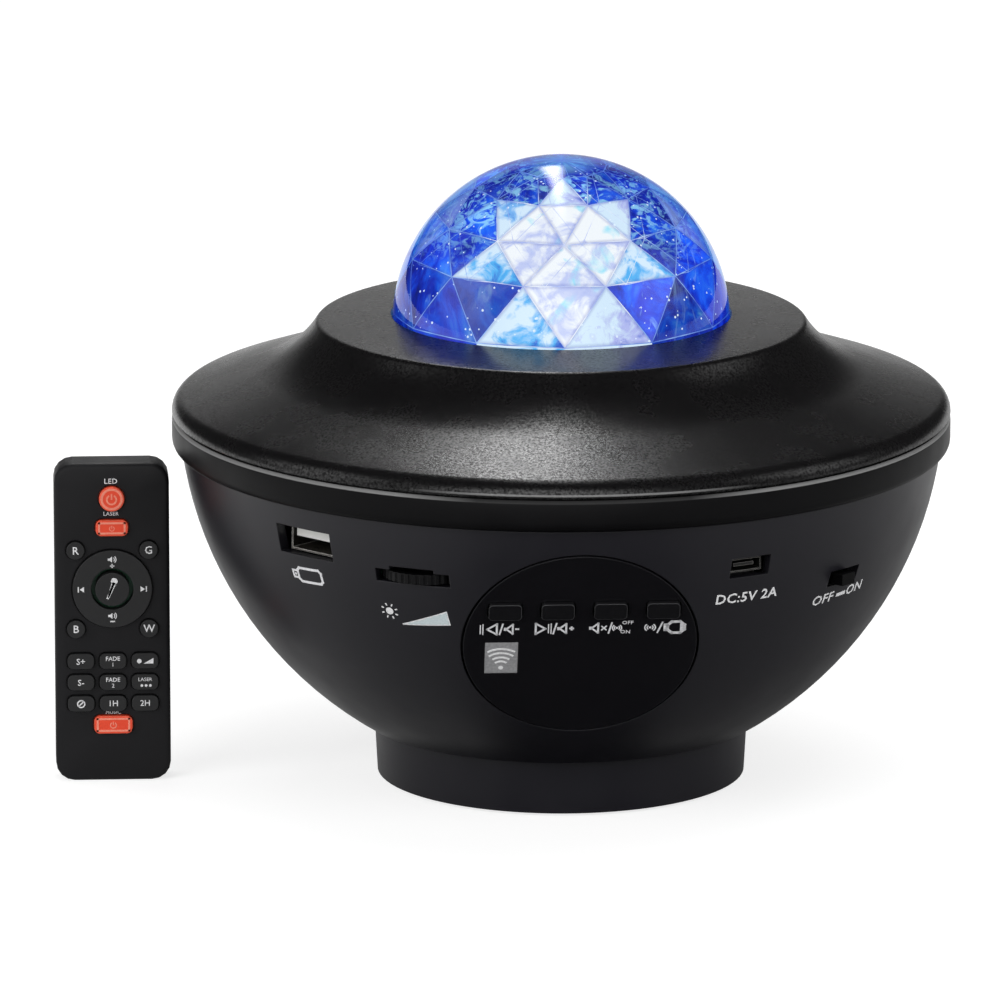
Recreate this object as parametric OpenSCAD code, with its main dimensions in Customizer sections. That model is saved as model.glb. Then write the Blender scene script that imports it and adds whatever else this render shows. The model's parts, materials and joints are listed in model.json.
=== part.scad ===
// Star night light projector with its remote control, in millimetres, +Z up.
// The origin is the centre of the foot, on the table, and the control panel faces -Y.

/* [Bowl] */
// Outer radius of the spherical bowl
bowl_r = 81.1; // [78:0.1:84]
// Thickness of the bowl's moulded wall
wall = 2.4; // [2:0.1:2.8]
// Height of the bowl's parting line above the table
seam_z = 71.5; // [69:0.1:74]
// Radius where the bowl meets the ledge
ledge_r = 42.45; // [41:0.05:44]
// Height of the flat ledge round the foot
ledge_z = 12.5; // [11.5:0.1:14]
// Outer radius of the foot under the ledge
foot_r = 39.8; // [39:0.1:41]
// Taper of the foot's radius from its top to its bottom edge
foot_draft = 0.7; // [0:0.1:1]
// Gap between the foot's bottom edge and the table
foot_gap = 0.6; // [0.4:0.1:0.8]
// Running gap round parts that drop into place
fit = 0.3; // [0.2:0.05:0.4]

/* [Rim and cover] */
// Overhang of the rim band and the cover beyond the bowl's sphere
rim_overhang = 1.4; // [0.8:0.1:3]
// Height of the rim band
rim_h = 7.1; // [6:0.1:9]
// Height of the dark parting groove over the rim band
groove_h = 0.6; // [0.3:0.1:0.8]
// Depth of the parting groove
groove_d = 1; // [0.5:0.1:1.2]
// Thickness of the top cover
cover_t = 2.2; // [1.8:0.1:2.6]
// Radius of the cover's rounded outer edge
edge_round = 3.6; // [3:0.1:5]
// Radius of the hollow flare between the cover's edge and its plateau
flare_r = 24; // [20:0.5:28]
// Slope of the flare where it meets the plateau, in degrees
flare_end = 60; // [55:1:65]
// Radius of the plateau's outer edge
shoulder_r = 51.7; // [50:0.1:54]
// Rounding of the plateau's outer edge
shoulder_round = 1.4; // [1:0.1:1.8]
// Height of the plateau beside the dome
plateau_z = 99.8; // [97.5:0.1:101]
// Fall of the plateau towards its edge, in degrees
plateau_slope = 4.8; // [3:0.1:6]

/* [Dome and lamp] */
// Outer radius of the clear dome
dome_r = 35.8; // [34:0.1:37]
// Depth of the dome's sphere centre below the plateau
dome_sink = 2.25; // [1.5:0.05:2.8]
// Radius of the dome's flange under the cover
dome_flange_r = 39.5; // [39:0.1:40.5]
// Thickness of the dome's flange
dome_flange_t = 2; // [1.6:0.1:2.4]
// Depth of the facet corners inside the dome's outer sphere
facet_corner_depth = 2.8; // [2.4:0.1:3.4]
// Number of facet corners in each ring of the dome
facet_count = 11; // [9:1:12]
// Module of the ripple gear and its pinion
gear_module = 1; // [0.9:0.05:1.1]
// Teeth of the ripple disc
disc_teeth = 52; // [48:1:54]
// Teeth of the motor pinion
pinion_teeth = 10; // [9:1:11]
// Thickness of the ripple disc
disc_t = 2.4; // [2:0.1:2.8]
// Height of the lamp tray's floor
tray_z = 78; // [77:0.1:79]
// Distance from the centre of the cover's bosses to the lamp tray's edge
tray_margin = 4; // [3.6:0.1:6]

/* [Control panel and ports] */
// Radius of the round control panel and the loudspeaker grille
panel_r = 24.2; // [23.6:0.1:25]
// Dark gap round the control panel and the grille
panel_gap = 0.5; // [0.3:0.05:0.7]
// Thickness of the control panel
panel_t = 2; // [1.8:0.1:2.4]
// Depth of the panel's face below the bowl's outer surface
panel_sink = 3.76; // [3.4:0.01:4.1]
// Downward tilt of the panel and the grille, in degrees
panel_tilt = 28.5; // [26:0.5:31]
// Width of a panel button
button_w = 6.8; // [6:0.1:7.2]
// Height of a panel button
button_h = 4.2; // [3.6:0.1:4.6]
// Distance between the panel buttons
button_pitch = 10.9; // [10.6:0.01:11.6]
// Travel of a panel button
button_travel = 0.6; // [0.4:0.1:0.8]
// Width of the infrared window
ir_w = 6.9; // [6:0.1:7.6]
// Height of the infrared window
ir_h = 8.6; // [7:0.1:9.4]
// Radius of a hole in the loudspeaker grille
grille_hole_r = 1.1; // [0.8:0.05:1.3]
// Distance between the rings of grille holes
grille_pitch = 3.6; // [3.2:0.1:4]
// Radius of the dimmer's thumb wheel
dimmer_r = 9.5; // [9:0.1:10]
// Travel of the power switch knob
switch_travel = 3; // [2:0.1:3.4]
// Height of the main board's top face
board_z = 57.2; // [56.8:0.1:57.6]

/* [Remote control] */
// Width of the remote control
remote_w = 24.4; // [23.6:0.1:26]
// Length of the remote control
remote_h = 69.2; // [68:0.1:72]
// Thickness of the remote control
remote_t = 7.5; // [7.4:0.1:8.5]
// Distance of the remote control's centre from the projector's axis
remote_x = 95.5; // [95:0.5:120]
// Distance of the remote control's face in front of the projector's axis
remote_face = 4.9; // [3:0.1:14]
// Radius of the remote control's corners
remote_corner = 4; // [3:0.1:5]
// Travel of a remote control key
key_travel = 0.5; // [0.3:0.05:0.6]
// Radius of the coin cell
cell_r = 10; // [9.5:0.1:10]

/* [Hidden] */
$fn = 64;

// Colours of the mouldings and fittings
black = [0.035, 0.035, 0.04];
gloss = [0.02, 0.02, 0.025];
rubber = [0.06, 0.06, 0.065];
clear_blue = [0.25, 0.45, 0.95, 0.5];
white = [0.93, 0.93, 0.9];
steel = [0.72, 0.73, 0.75];
brass = [0.78, 0.62, 0.28];
green = [0.05, 0.28, 0.16];
grey = [0.45, 0.45, 0.47];
key_red = [0.9, 0.2, 0.12];

// Bowl
sphere_z = ledge_z + sqrt(bowl_r * bowl_r - ledge_r * ledge_r);
bowl_in = bowl_r - wall;
floor_t = 2.4;
floor_hole_r = 28;
foot_in = foot_r - wall;
plate_t = 2.4;
plate_z = foot_gap;
plate_r = foot_in - foot_draft - fit;
pad_r = 29;
pad_t = 1.2;
base_screw_r = 32.6;
post_r = 3;
screw_r = 1.2;
screw_head_r = 2.4;
screw_head_h = 1.5;
pilot_r = screw_r + 0.05;

// Rim band, which stands on the bowl's tongue
rim_r = bowl_r + rim_overhang;
rim_top = seam_z + rim_h;
rim_flange_t = 2.2;
rim_round = 2.1;
rim_top_round = 1.1;
lip_drop = 2.1;
lip_t = 1.8;
lip_z = seam_z - lip_drop;
lip_out = bowl_radius(lip_z, bowl_in) - fit;
lip_in = lip_out - lip_t;
tongue_in = lip_out + fit;
tongue_out = bowl_radius(seam_z) - 0.4;
tongue_top = rim_top - rim_flange_t;

// Cover, from its rounded edge over the flare to the plateau
cover_z = rim_top + groove_h;
dome_hole_r = dome_r + 0.25;
edge_c = [rim_r - edge_round, cover_z];
flare_c = [shoulder_r, plateau_at(shoulder_r)] + flare_r * [sin(flare_end), cos(flare_end)];
edge_to_flare = flare_c - edge_c;
tangent = acos((flare_r + edge_round) / norm(edge_to_flare)) - atan2(-edge_to_flare.x, edge_to_flare.y);
arc_steps = 14;
hook_count = 6;
hook_start = 4;
skirt_t = 1.9;
skirt_out = lip_in - fit;
skirt_z = rim_top - 3;
hook_angle = 9;
hook_catch = 1.2;
hook_h = 1.3;
hook_in = skirt_out - skirt_t + 0.3;
hook_out = skirt_out - 0.1;
hook_top = lip_z - fit;

// Dome and lamp
dome_z = plateau_z - dome_sink;
dome_flange_top = plateau_at(dome_flange_r, cover_t) - 0.05;
dome_flange_z = dome_flange_top - dome_flange_t;
facet_rings = [3.5, 25, 41, 58, 74];
facet_start = -92;
retainer_t = 2.2;
retainer_in = 33.4;
retainer_out = dome_flange_r + 1;
boss_ring_r = dome_flange_r + 5.5;
tray_r = boss_ring_r + tray_margin;
boss_r = 3.2;
tray_t = 2;
tray_wall_t = 1.6;
tray_wall_h = 6;
tray_top = tray_z + tray_t;
pin_r = 1.5;
pin_gap = 0.05;
pin_boss_r = 3;
led_board_z = tray_top + 2;
led_board_r = 15.5;
led_board_t = 1.6;
led_ring_r = 9.5;
led_size = 5;
led_h = 1.4;
lens_r = 5.4;
lens_h = 4.6;
led_top = led_board_z + led_board_t;
disc_z = 89.4;
disc_pitch_r = gear_module * disc_teeth / 2;
pinion_pitch_r = gear_module * pinion_teeth / 2;
gear_distance = disc_pitch_r + pinion_pitch_r + 0.05;
disc_hub_r = 4;
disc_web_r = disc_pitch_r - 3;
disc_hub_h = disc_t + 1;
ripple_h = 0.35;
ripple_pitch = 4;
motor_r = 6.5;
motor_top = disc_z - 1.2;
shaft_r = 0.75;
laser_r = 4;
laser_ring_r = led_board_r + laser_r + 1;
laser_azimuth = 225;

// Control panel and loudspeaker, both on a flat facet of the bowl
panel_face = bowl_r - panel_sink;
panel_back = panel_face - panel_t;
pocket_r = panel_r + panel_gap;
pocket_wall = 2;
pocket_floor = panel_back - 2;
speaker_azimuth = -112;
speaker_hole_r = 20;
grille_rings = 5;
button_row = 9.6;
button_shift = 0.65;
button_proud = 0.8;
button_flange_t = 0.8;
button_round = 0.9;
flange_edge = 0.7;
stem_w = 4;
stem_h = 3;
button_board_face = pocket_floor - 3.7;
button_board_t = 1.6;
tact_top = button_board_face + 2.2;
ir_x = -16.2;
ir_y = -3.65;

// Ports, each at its azimuth, height and distance from the axis
usb_azimuth = -45.7;
usb_z = 63.85;
usb_w = 13.1;
usb_h = 5.7;
usb_recess = 3.3;
usb_mouth = bowl_radius(usb_z) - usb_recess;
usb_len = 14;
dc_azimuth = 26.6;
dc_z = 61.25;
dc_w = 7.8;
dc_h = 2.9;
dc_recess = 2.35;
dc_mouth = bowl_radius(dc_z) - dc_recess;
dc_len = 6;
dimmer_azimuth = -26.5;
dimmer_z = 59.6;
dimmer_t = 2;
dimmer_proud = 1.1;
dimmer_axis = bowl_radius(dimmer_z) + dimmer_proud - dimmer_r;
dimmer_slot_w = 16.6;
dimmer_slot_h = 2.8;
switch_azimuth = 47;
switch_h = 2.8;
board_t = 1.2;
switch_z = board_z - board_t - switch_h / 2;
switch_w = 9.2;
switch_face = bowl_radius(switch_z - switch_h / 2, bowl_in) - 0.8;
knob_w = 4;
knob_h = 2.4;
knob_proud = 2.5;
board_r = bowl_radius(board_z - board_t, bowl_in) - 0.8;
board_back = 22;
board_notch_w = 2 * (pocket_r + pocket_wall) + 6;
board_notch_y = 60;
board_posts = [[-36, -34], [36, -34], [-62, -28], [62, -28]];

// Routes of the inner leads, by hand
lead_r = 0.9;
lamp_lead = [[8, -32, 57.2], [8, -32, 60], [9, -30, 64], [12, -26, 68], [14, -22, 72], [15, -20, 75], [15, -20, 78]];
speaker_lead = [[-30, -26, 57.2], [-30, -26, 60], [-30, -22, 62.5], [-31, -16, 61], [-33, -8, 56], [-35, 0, 51],
    [-37, 6, 48], [-39, 10.5, 46.9], [-41, 14, 45.9]];
speaker_lead_end = [-0.81, 0.33, -0.48];

// Remote control: each key's place from the bottom centre of the face, and its size
front_t = 1;
shell_t = 1.2;
case_split = 4;
back_t = 1;
key_fit = 0.25;
key_proud = 0.8;
key_flange = 0.5;
key_edge = 0.25;
key_flange_y = front_t + 0.05;
remote_board_y = key_flange_y + key_flange + key_travel + 0.1;
remote_board_t = 0.8;
red_x = 7.75;
small_pitch_x = 6.8;
small_pitch_z = 4.63;
small_z = 17.1;
small_key = [5.6, 3.3];
letter_key_r = 1.9;
led_key_z = 61.7;
laser_key_z = 55.4;
upper_letter_z = 50.55;
lower_letter_z = 33.4;
ring_z = 42.15;
ring_out = 8.4;
ring_in = 4.5;
voice_r = 3.6;
music_key_z = 12.45;
drawer_len = 2 * cell_r + 4.2;
drawer_w = remote_w - 2 * shell_t - 2 * fit;
drawer_t = 3;
drawer_y = remote_t - back_t - fit - drawer_t;
drawer_floor = 0.4;
cell_t = 2.5;

// Radius of the bowl's surface at a height, and height of its inner surface at a radius
function bowl_radius(z, r = bowl_r) = sqrt(r * r - pow(sphere_z - z, 2));
function bowl_height(rad) = sphere_z - sqrt(pow(bowl_in + wall / 2, 2) - rad * rad);
// Height of the plateau, and of its underside at depth t
function plateau_at(r, t = 0) = plateau_z - (r - dome_hole_r) * tan(plateau_slope) - t / cos(plateau_slope);
// Point where the flare meets the plateau, both moved inwards by t
function shoulder_at(t) = let (
    n = [sin(plateau_slope), cos(plateau_slope)],
    h = (flare_c - [dome_hole_r, plateau_z]) * n + t,
    q = flare_r + t) flare_c - h * n - sqrt(q * q - h * h) * [n.y, -n.x];
function arc(c, r, a0, a1, steps = arc_steps) =
    [for (i = [0:steps]) let (a = a0 + (a1 - a0) * i / steps) c + r * [cos(a), sin(a)]];
function reversed(list) = [for (i = [len(list) - 1:-1:0]) list[i]];
// Profile of the cover at depth t, from its outer edge to the dome's hole
function cover_profile(t) = let (f = shoulder_at(max(t, shoulder_round)), away = flare_c - f) concat(
    arc(edge_c, edge_round - t, 0, 90 - tangent),
    arc(flare_c, flare_r + t, 270 - tangent, 180 + atan2(away.y, away.x)),
    t < shoulder_round ? arc(f, shoulder_round - t, atan2(away.y, away.x), 90 - plateau_slope, 6) : [],
    [[dome_hole_r, plateau_at(dome_hole_r, t)]]);
// Underside of the cover's straight stretch
function cover_under(r) = let (p = edge_c + edge_round * [sin(tangent), cos(tangent)])
    p.y + (p.x - r) * tan(tangent) - cover_t / cos(tangent);
function rounded(w, h, r, steps = 4) = concat(
    arc([w / 2 - r, h / 2 - r], r, 0, 90, steps), arc([r - w / 2, h / 2 - r], r, 90, 180, steps),
    arc([r - w / 2, r - h / 2], r, 180, 270, steps), arc([w / 2 - r, r - h / 2], r, 270, 360, steps));
// Involute gear outline: half the angle of a tooth at radius r, then the flanks of each tooth
function roll(base, r) = let (a = acos(min(1, base / r))) tan(a) * 180 / PI - a;
function gear_points(teeth, play = 0.12) = let (
    pitch = gear_module * teeth / 2,
    base = pitch * cos(20),
    root = pitch - 1.3 * gear_module,
    tip = pitch + 0.85 * gear_module,
    half = 90 / teeth - play / pitch * 180 / PI + roll(base, pitch),
    start = max(base, root),
    radii = concat(root < start ? [root] : [], [for (i = [0:3]) start + (tip - start) * i / 3]),
    flank = [for (r = radii) [r, half - roll(base, max(r, base))]]) [
    for (k = [0:teeth - 1]) let (c = 360 * k / teeth)
        for (p = concat([for (f = flank) [f[0], -f[1]]], reversed(flank)))
            p[0] * [cos(c + p[1]), sin(c + p[1])]];

// Sphere points of the faceted inside of the dome
function on_sphere(r, azimuth, elevation) =
    r * [cos(elevation) * cos(azimuth), cos(elevation) * sin(azimuth), sin(elevation)];
module facet_core() {
    n = facet_count;
    rings = len(facet_rings);
    corner_r = dome_r - facet_corner_depth;
    corners = concat(
        [for (k = [0:rings - 1]) for (j = [0:n - 1])
            on_sphere(corner_r, facet_start + 360 * (j + (k % 2) / 2) / n, facet_rings[k])],
        [[0, 0, corner_r]]);
    apex = rings * n;
    top = apex - n;
    foot_first = apex + 1;
    foot = [for (j = [0:n - 1]) [corners[j].x, corners[j].y, dome_flange_z - dome_z - 1]];
    polyhedron(
        points = concat(corners, foot),
        faces = concat(
            [for (k = [0:rings - 2]) for (j = [0:n - 1])
                let (a = k * n, b = a + n, i = (j + 1) % n)
                each k % 2 == 0
                    ? [[b + j, a + i, a + j], [b + j, b + i, a + i]]
                    : [[b + i, a + i, a + j], [b + j, b + i, a + j]]],
            [for (j = [0:n - 1]) [apex, top + (j + 1) % n, top + j]],
            [for (j = [0:n - 1]) let (i = (j + 1) % n) [j, i, foot_first + i, foot_first + j]],
            [[for (j = [0:n - 1]) foot_first + j]]));
}

// Frames that place children
module ring_of(count, r, start = 0) {
    for (i = [0:count - 1]) rotate([0, 0, start + 360 * i / count]) translate([r, 0, 0]) children();
}
module facet(azimuth) {
    translate([0, 0, sphere_z]) rotate([0, 0, azimuth]) rotate([90 + panel_tilt, 0, 0]) children();
}
module port(azimuth, z) {
    translate([0, 0, z]) rotate([0, 0, azimuth]) rotate([90, 0, 0]) children();
}
module box(w, h, z0, z1) {
    translate([-w / 2, -h / 2, z0]) cube([w, h, z1 - z0]);
}
module disc(r, z0, z1) {
    translate([0, 0, z0]) cylinder(r = r, h = z1 - z0);
}
module tube(r_out, r_in, z0, z1) {
    difference() {
        disc(r_out, z0, z1);
        disc(r_in, z0 - 1, z1 + 1);
    }
}
module at_buttons() {
    for (i = [0:3]) translate([button_x(i), button_row, 0]) children();
}
function button_x(i) = button_shift + (i - 1.5) * button_pitch;
module at_board_bosses() {
    for (x = [-19, 19], y = [-10, 16]) translate([x, y, 0]) children();
}

// ---- Housing ----
module pocket_body(azimuth) {
    facet(azimuth) disc(pocket_r + pocket_wall, pocket_floor, bowl_r + 1);
}
module pocket_space(azimuth) {
    facet(azimuth) disc(pocket_r, panel_back, bowl_r + 1);
}
module bowl_walls() {
    difference() {
        intersection() {
            translate([0, 0, sphere_z]) sphere(r = bowl_r);
            disc(bowl_r, ledge_z, seam_z);
        }
        intersection() {
            translate([0, 0, sphere_z]) sphere(r = bowl_in);
            disc(bowl_r, ledge_z + floor_t, seam_z + 1);
        }
        disc(floor_hole_r, 0, ledge_z + floor_t + 1);
    }
    tube(tongue_out, tongue_in, seam_z - 0.8, tongue_top);
    rotate_extrude() polygon([[foot_in - foot_draft, foot_gap], [foot_r - foot_draft, foot_gap],
        [foot_r, ledge_z + 1], [foot_in, ledge_z + 1]]);
    ring_of(4, base_screw_r, 45) disc(post_r, plate_z + plate_t, ledge_z + 1);
    intersection() {
        translate([0, 0, sphere_z]) sphere(r = bowl_r);
        disc(bowl_r, ledge_z, hook_top);
        union() {
            pocket_body(0);
            pocket_body(speaker_azimuth);
            for (p = board_posts) translate([p.x, p.y, 0])
                disc(post_r, bowl_height(max(0, norm(p) - post_r)), board_z - board_t);
        }
    }
}
module bowl() color(black) difference() {
    union() {
        bowl_walls();
        facet(0) at_board_bosses() disc(2, button_board_face, pocket_floor + 0.5);
    }
    pocket_space(0);
    pocket_space(speaker_azimuth);
    facet(speaker_azimuth) disc(speaker_hole_r, pocket_floor - 1, panel_back + 1);
    facet(0) {
        at_buttons() box(button_w + 2 * flange_edge + 2 * fit, button_h + 2 * flange_edge + 2 * fit,
            pocket_floor - 1, panel_back + 1);
        translate([ir_x, ir_y, 0]) disc(2.6, pocket_floor - 1, panel_back + 1);
        at_board_bosses() disc(pilot_r, button_board_face - 1, pocket_floor);
    }
    port(usb_azimuth, usb_z) box(usb_w + 1.9, usb_h + 0.5, usb_mouth - usb_len, bowl_r + 1);
    port(dc_azimuth, dc_z) box(dc_w + 1.5, dc_h + 1.5, dc_mouth - dc_len, bowl_r + 1);
    port(dimmer_azimuth, dimmer_z) {
        box(dimmer_slot_w, dimmer_slot_h, dimmer_axis - dimmer_r, bowl_r + 1);
        translate([0, 0.4, 0]) box(dimmer_slot_w * 0.6, dimmer_slot_h + 0.8, dimmer_axis, bowl_r + 1);
    }
    port(switch_azimuth, switch_z) box(switch_travel + knob_w + 2.4, knob_h + 1, switch_face - 1, bowl_r + 1);
    ring_of(4, base_screw_r, 45) disc(pilot_r, 0, ledge_z);
    for (p = board_posts) translate([p.x, p.y, 0]) disc(pilot_r, board_z - board_t - 8, board_z);
}

module base_plate() color(black) difference() {
    disc(plate_r, plate_z, plate_z + plate_t);
    disc(pad_r + fit / 2, 0, pad_t);
    ring_of(4, base_screw_r, 45) {
        disc(pilot_r, 0, ledge_z);
        disc(screw_head_r + 0.2, 0, plate_z + screw_head_h);
    }
}

module foot_pad() color(rubber) disc(pad_r, 0, pad_t);

module rim_ring() color(black) rotate_extrude() polygon(concat(
    arc([rim_r - rim_round, seam_z + rim_round], rim_round, -90, 0, 6),
    arc([rim_r - rim_top_round, rim_top - rim_top_round], rim_top_round, 0, 90, 4),
    [[lip_in, rim_top], [lip_in, lip_z], [lip_out, lip_z], [lip_out, tongue_top],
        [tongue_out + fit, tongue_top], [tongue_out + fit, seam_z]]));

module top_cover() color(black) {
    difference() {
        union() {
            rotate_extrude() polygon(concat(
                [[rim_r - groove_d, rim_top], [rim_r - groove_d, cover_z]],
                cover_profile(0),
                reversed(cover_profile(cover_t)),
                [[rim_r - cover_t, rim_top]]));
            rotate_extrude() polygon([[skirt_out - skirt_t, skirt_z], [skirt_out, skirt_z],
                [skirt_out, cover_under(skirt_out) + 0.8], [skirt_out - skirt_t, cover_under(skirt_out) + 0.8]]);
            for (i = [0:hook_count - 1])
                rotate([0, 0, hook_start + 360 * i / hook_count - hook_angle / 2])
                    rotate_extrude(angle = hook_angle)
                        polygon([[hook_in, skirt_z + 1], [hook_in, hook_top - hook_h],
                            [hook_out, hook_top - hook_h], [hook_out + hook_catch, hook_top],
                            [hook_out, hook_top], [hook_out, skirt_z + 1]]);
            ring_of(4, boss_ring_r) disc(boss_r, dome_flange_z, plateau_at(boss_ring_r + boss_r, cover_t) + 0.4);
            ring_of(4, boss_ring_r, 45) disc(boss_r, tray_top, plateau_at(boss_ring_r + boss_r, cover_t) + 0.4);
        }
        ring_of(4, boss_ring_r) disc(pilot_r, dome_flange_z - 1, dome_flange_top);
        ring_of(4, boss_ring_r, 45) disc(pilot_r, tray_top - 1, tray_top + 9);
    }
}

// ---- Dome and lamp ----
module crystal_dome() color(clear_blue) difference() {
    union() {
        intersection() {
            translate([0, 0, dome_z]) sphere(r = dome_r, $fn = 200);
            translate([0, 0, dome_z]) cylinder(r = dome_r + 1, h = dome_r + 1);
        }
        translate([0, 0, dome_flange_z]) cylinder(r = dome_r, h = dome_z - dome_flange_z, $fn = 200);
        disc(dome_flange_r, dome_flange_z, dome_flange_top);
    }
    translate([0, 0, dome_z]) facet_core();
}

module dome_retainer() color(black) difference() {
    union() {
        disc(retainer_out, dome_flange_z - retainer_t, dome_flange_z);
        ring_of(4, boss_ring_r) {
            disc(boss_r, dome_flange_z - retainer_t, dome_flange_z);
            translate([-5, -boss_r, dome_flange_z - retainer_t]) cube([5, 2 * boss_r, retainer_t]);
        }
    }
    disc(retainer_in, dome_flange_z - retainer_t - 1, dome_flange_z + 1);
    ring_of(4, boss_ring_r) disc(pilot_r, dome_flange_z - retainer_t - 1, dome_flange_z + 1);
}

module lamp_tray() color(black) difference() {
    union() {
        disc(tray_r, tray_z, tray_top);
        tube(tray_r, tray_r - tray_wall_t, tray_z, tray_top + tray_wall_h);
        disc(pin_boss_r, tray_top - 0.5, disc_z - fit);
        disc(pin_r, disc_z - fit - 0.5, disc_z + disc_hub_h + 1.6);
        ring_of(3, led_board_r - 2.5, 60) disc(1.8, tray_top - 0.5, led_board_z);
    }
    ring_of(4, boss_ring_r, 45) {
        disc(pilot_r, tray_z - 1, tray_top + 1);
        disc(boss_r + fit, tray_top, tray_top + tray_wall_h + 1);
    }
    rotate([0, 0, 300]) translate([25, 0, tray_z - 1]) cylinder(r = 4, h = tray_t + 2);
}

module led_board() color(white) difference() {
    disc(led_board_r, led_board_z, led_top);
    disc(pin_boss_r + fit, led_board_z - 1, led_top + 1);
}

module led_chips() color(brass) ring_of(4, led_ring_r, 45) box(led_size, led_size, led_top, led_top + led_h);

module led_lenses() color(clear_blue) ring_of(4, led_ring_r, 45) difference() {
    intersection() {
        translate([0, 0, led_top + lens_h - 1.4 * lens_r]) sphere(r = 1.4 * lens_r);
        disc(lens_r, led_top, led_top + lens_h);
    }
    disc(led_size * 0.75, led_top - 1, led_top + led_h + fit);
}

module laser_module() color(brass) rotate([0, 0, laser_azimuth]) translate([laser_ring_r, 0, 0]) difference() {
    union() {
        disc(laser_r, tray_top, tray_top + 6);
        disc(laser_r - 1, tray_top + 5.5, tray_top + 8);
    }
    disc(1.2, tray_top + 6, tray_top + 9);
}

module ripple_motor() color(steel) translate([gear_distance, 0, 0]) difference() {
    union() {
        disc(motor_r, tray_top, motor_top - 0.8);
        disc(2.2, motor_top - 1, motor_top);
    }
    disc(shaft_r + pin_gap, tray_top + 2, motor_top + 1);
}

module motor_pinion() color(white) translate([gear_distance, 0, 0]) {
    translate([0, 0, disc_z - 0.2]) rotate([0, 0, 180 + 180 / pinion_teeth])
        linear_extrude(disc_t + 0.4) polygon(gear_points(pinion_teeth));
    disc(shaft_r, tray_top + 2 + fit, disc_z);
}

module ripple_disc() color(clear_blue) difference() {
    union() {
        translate([0, 0, disc_z]) linear_extrude(disc_t) difference() {
            polygon(gear_points(disc_teeth));
            circle(r = disc_web_r);
        }
        translate([0, 0, disc_z]) rotate_extrude() polygon(concat(
            [[0, 0], [disc_web_r + 0.5, 0]],
            [for (i = [0:24]) let (r = (disc_web_r + 0.5) * (1 - i / 24))
                [r, disc_t - ripple_h + ripple_h * cos(360 * r / ripple_pitch)]]));
        disc(disc_hub_r, disc_z, disc_z + disc_hub_h);
    }
    disc(pin_r + pin_gap, disc_z - 1, disc_z + disc_hub_h + 1);
}

// ---- Boards and ports ----
module main_board() color(green) difference() {
    intersection() {
        disc(board_r, board_z - board_t, board_z);
        translate([-bowl_r, -bowl_r, 0]) cube([2 * bowl_r, bowl_r - board_back, board_z]);
    }
    translate([-board_notch_w / 2, -bowl_r, 0]) cube([board_notch_w, bowl_r - board_notch_y, board_z + 1]);
    for (p = board_posts) translate([p.x, p.y, 0]) disc(pilot_r, 0, board_z + 1);
}

module board_parts() color(gloss) {
    port(usb_azimuth, usb_z) translate([0, (board_z - usb_z - usb_h / 2) / 2, 0])
        box(usb_w, usb_z - usb_h / 2 - board_z, usb_mouth - usb_len, usb_mouth - 3);
    port(dc_azimuth, dc_z) translate([0, (board_z - dc_z - dc_h / 2) / 2, 0])
        box(dc_w, dc_z - dc_h / 2 - board_z, dc_mouth - dc_len, dc_mouth - 3);
    translate([-6, -44, 0]) box(12, 12, board_z, board_z + 1.6);
    translate([22, -44, 0]) box(9, 7, board_z, board_z + 1.4);
    for (x = [-22, -14, 16]) translate([x, -30, 0]) disc(3.2, board_z, board_z + 8);
}

module usb_shell() color(steel) port(usb_azimuth, usb_z) difference() {
    box(usb_w, usb_h, usb_mouth - usb_len, usb_mouth);
    box(usb_w - 0.8, usb_h - 0.8, usb_mouth - usb_len + 0.5, usb_mouth + 1);
}

module usb_tongue() color(white) port(usb_azimuth, usb_z) translate([0, 0.9, 0])
    box(usb_w - 1.6, 1.9, usb_mouth - usb_len + 0.5, usb_mouth - 0.8);

module dc_socket() color(steel) port(dc_azimuth, dc_z) {
    difference() {
        box(dc_w, dc_h, dc_mouth - dc_len, dc_mouth);
        box(dc_w - 0.7, dc_h - 0.7, dc_mouth - dc_len + 0.6, dc_mouth + 1);
    }
    box(dc_w - 3, 0.7, dc_mouth - dc_len + 0.5, dc_mouth - 0.6);
}

module switch_body() color(steel) port(switch_azimuth, switch_z) difference() {
    box(switch_w, switch_h, switch_face - 6, switch_face);
    box(switch_travel + knob_w + 0.6, 1.8, switch_face - 3, switch_face + 1);
}

module switch_knob() color(black) port(switch_azimuth, switch_z) translate([-switch_travel / 2, 0, 0]) {
    box(knob_w, 1.2, switch_face - 2.7, switch_face + fit + 0.2);
    box(knob_w, knob_h, switch_face + fit, bowl_radius(switch_z) + knob_proud);
}

module at_dimmer() {
    rotate([0, 0, dimmer_azimuth]) translate([0, -dimmer_axis, 0]) children();
}
module dimmer_body() color(steel) at_dimmer() {
    disc(4, board_z, dimmer_z - dimmer_t / 2 - fit);
    disc(pin_r, board_z, dimmer_z + dimmer_t / 2 + 0.5);
}

module dimmer_wheel() color(gloss) at_dimmer() difference() {
    translate([0, 0, dimmer_z - dimmer_t / 2]) linear_extrude(dimmer_t) difference() {
        circle(r = dimmer_r);
        circle(r = pin_r + pin_gap);
        for (i = [0:35]) rotate(10 * i) translate([dimmer_r + 0.15, 0]) circle(r = 0.45, $fn = 16);
    }
    tube(dimmer_r - 2, pin_r + 2, dimmer_z + dimmer_t / 2 - 0.4, dimmer_z + dimmer_t);
}

// ---- Control panel ----
module control_panel() color(gloss) facet(0) translate([0, 0, panel_back]) linear_extrude(panel_t) difference() {
    circle(r = panel_r);
    at_buttons() polygon(rounded(button_w + 2 * fit, button_h + 2 * fit, button_round + fit));
    translate([ir_x, ir_y]) square([ir_w, ir_h], center = true);
}

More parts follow.
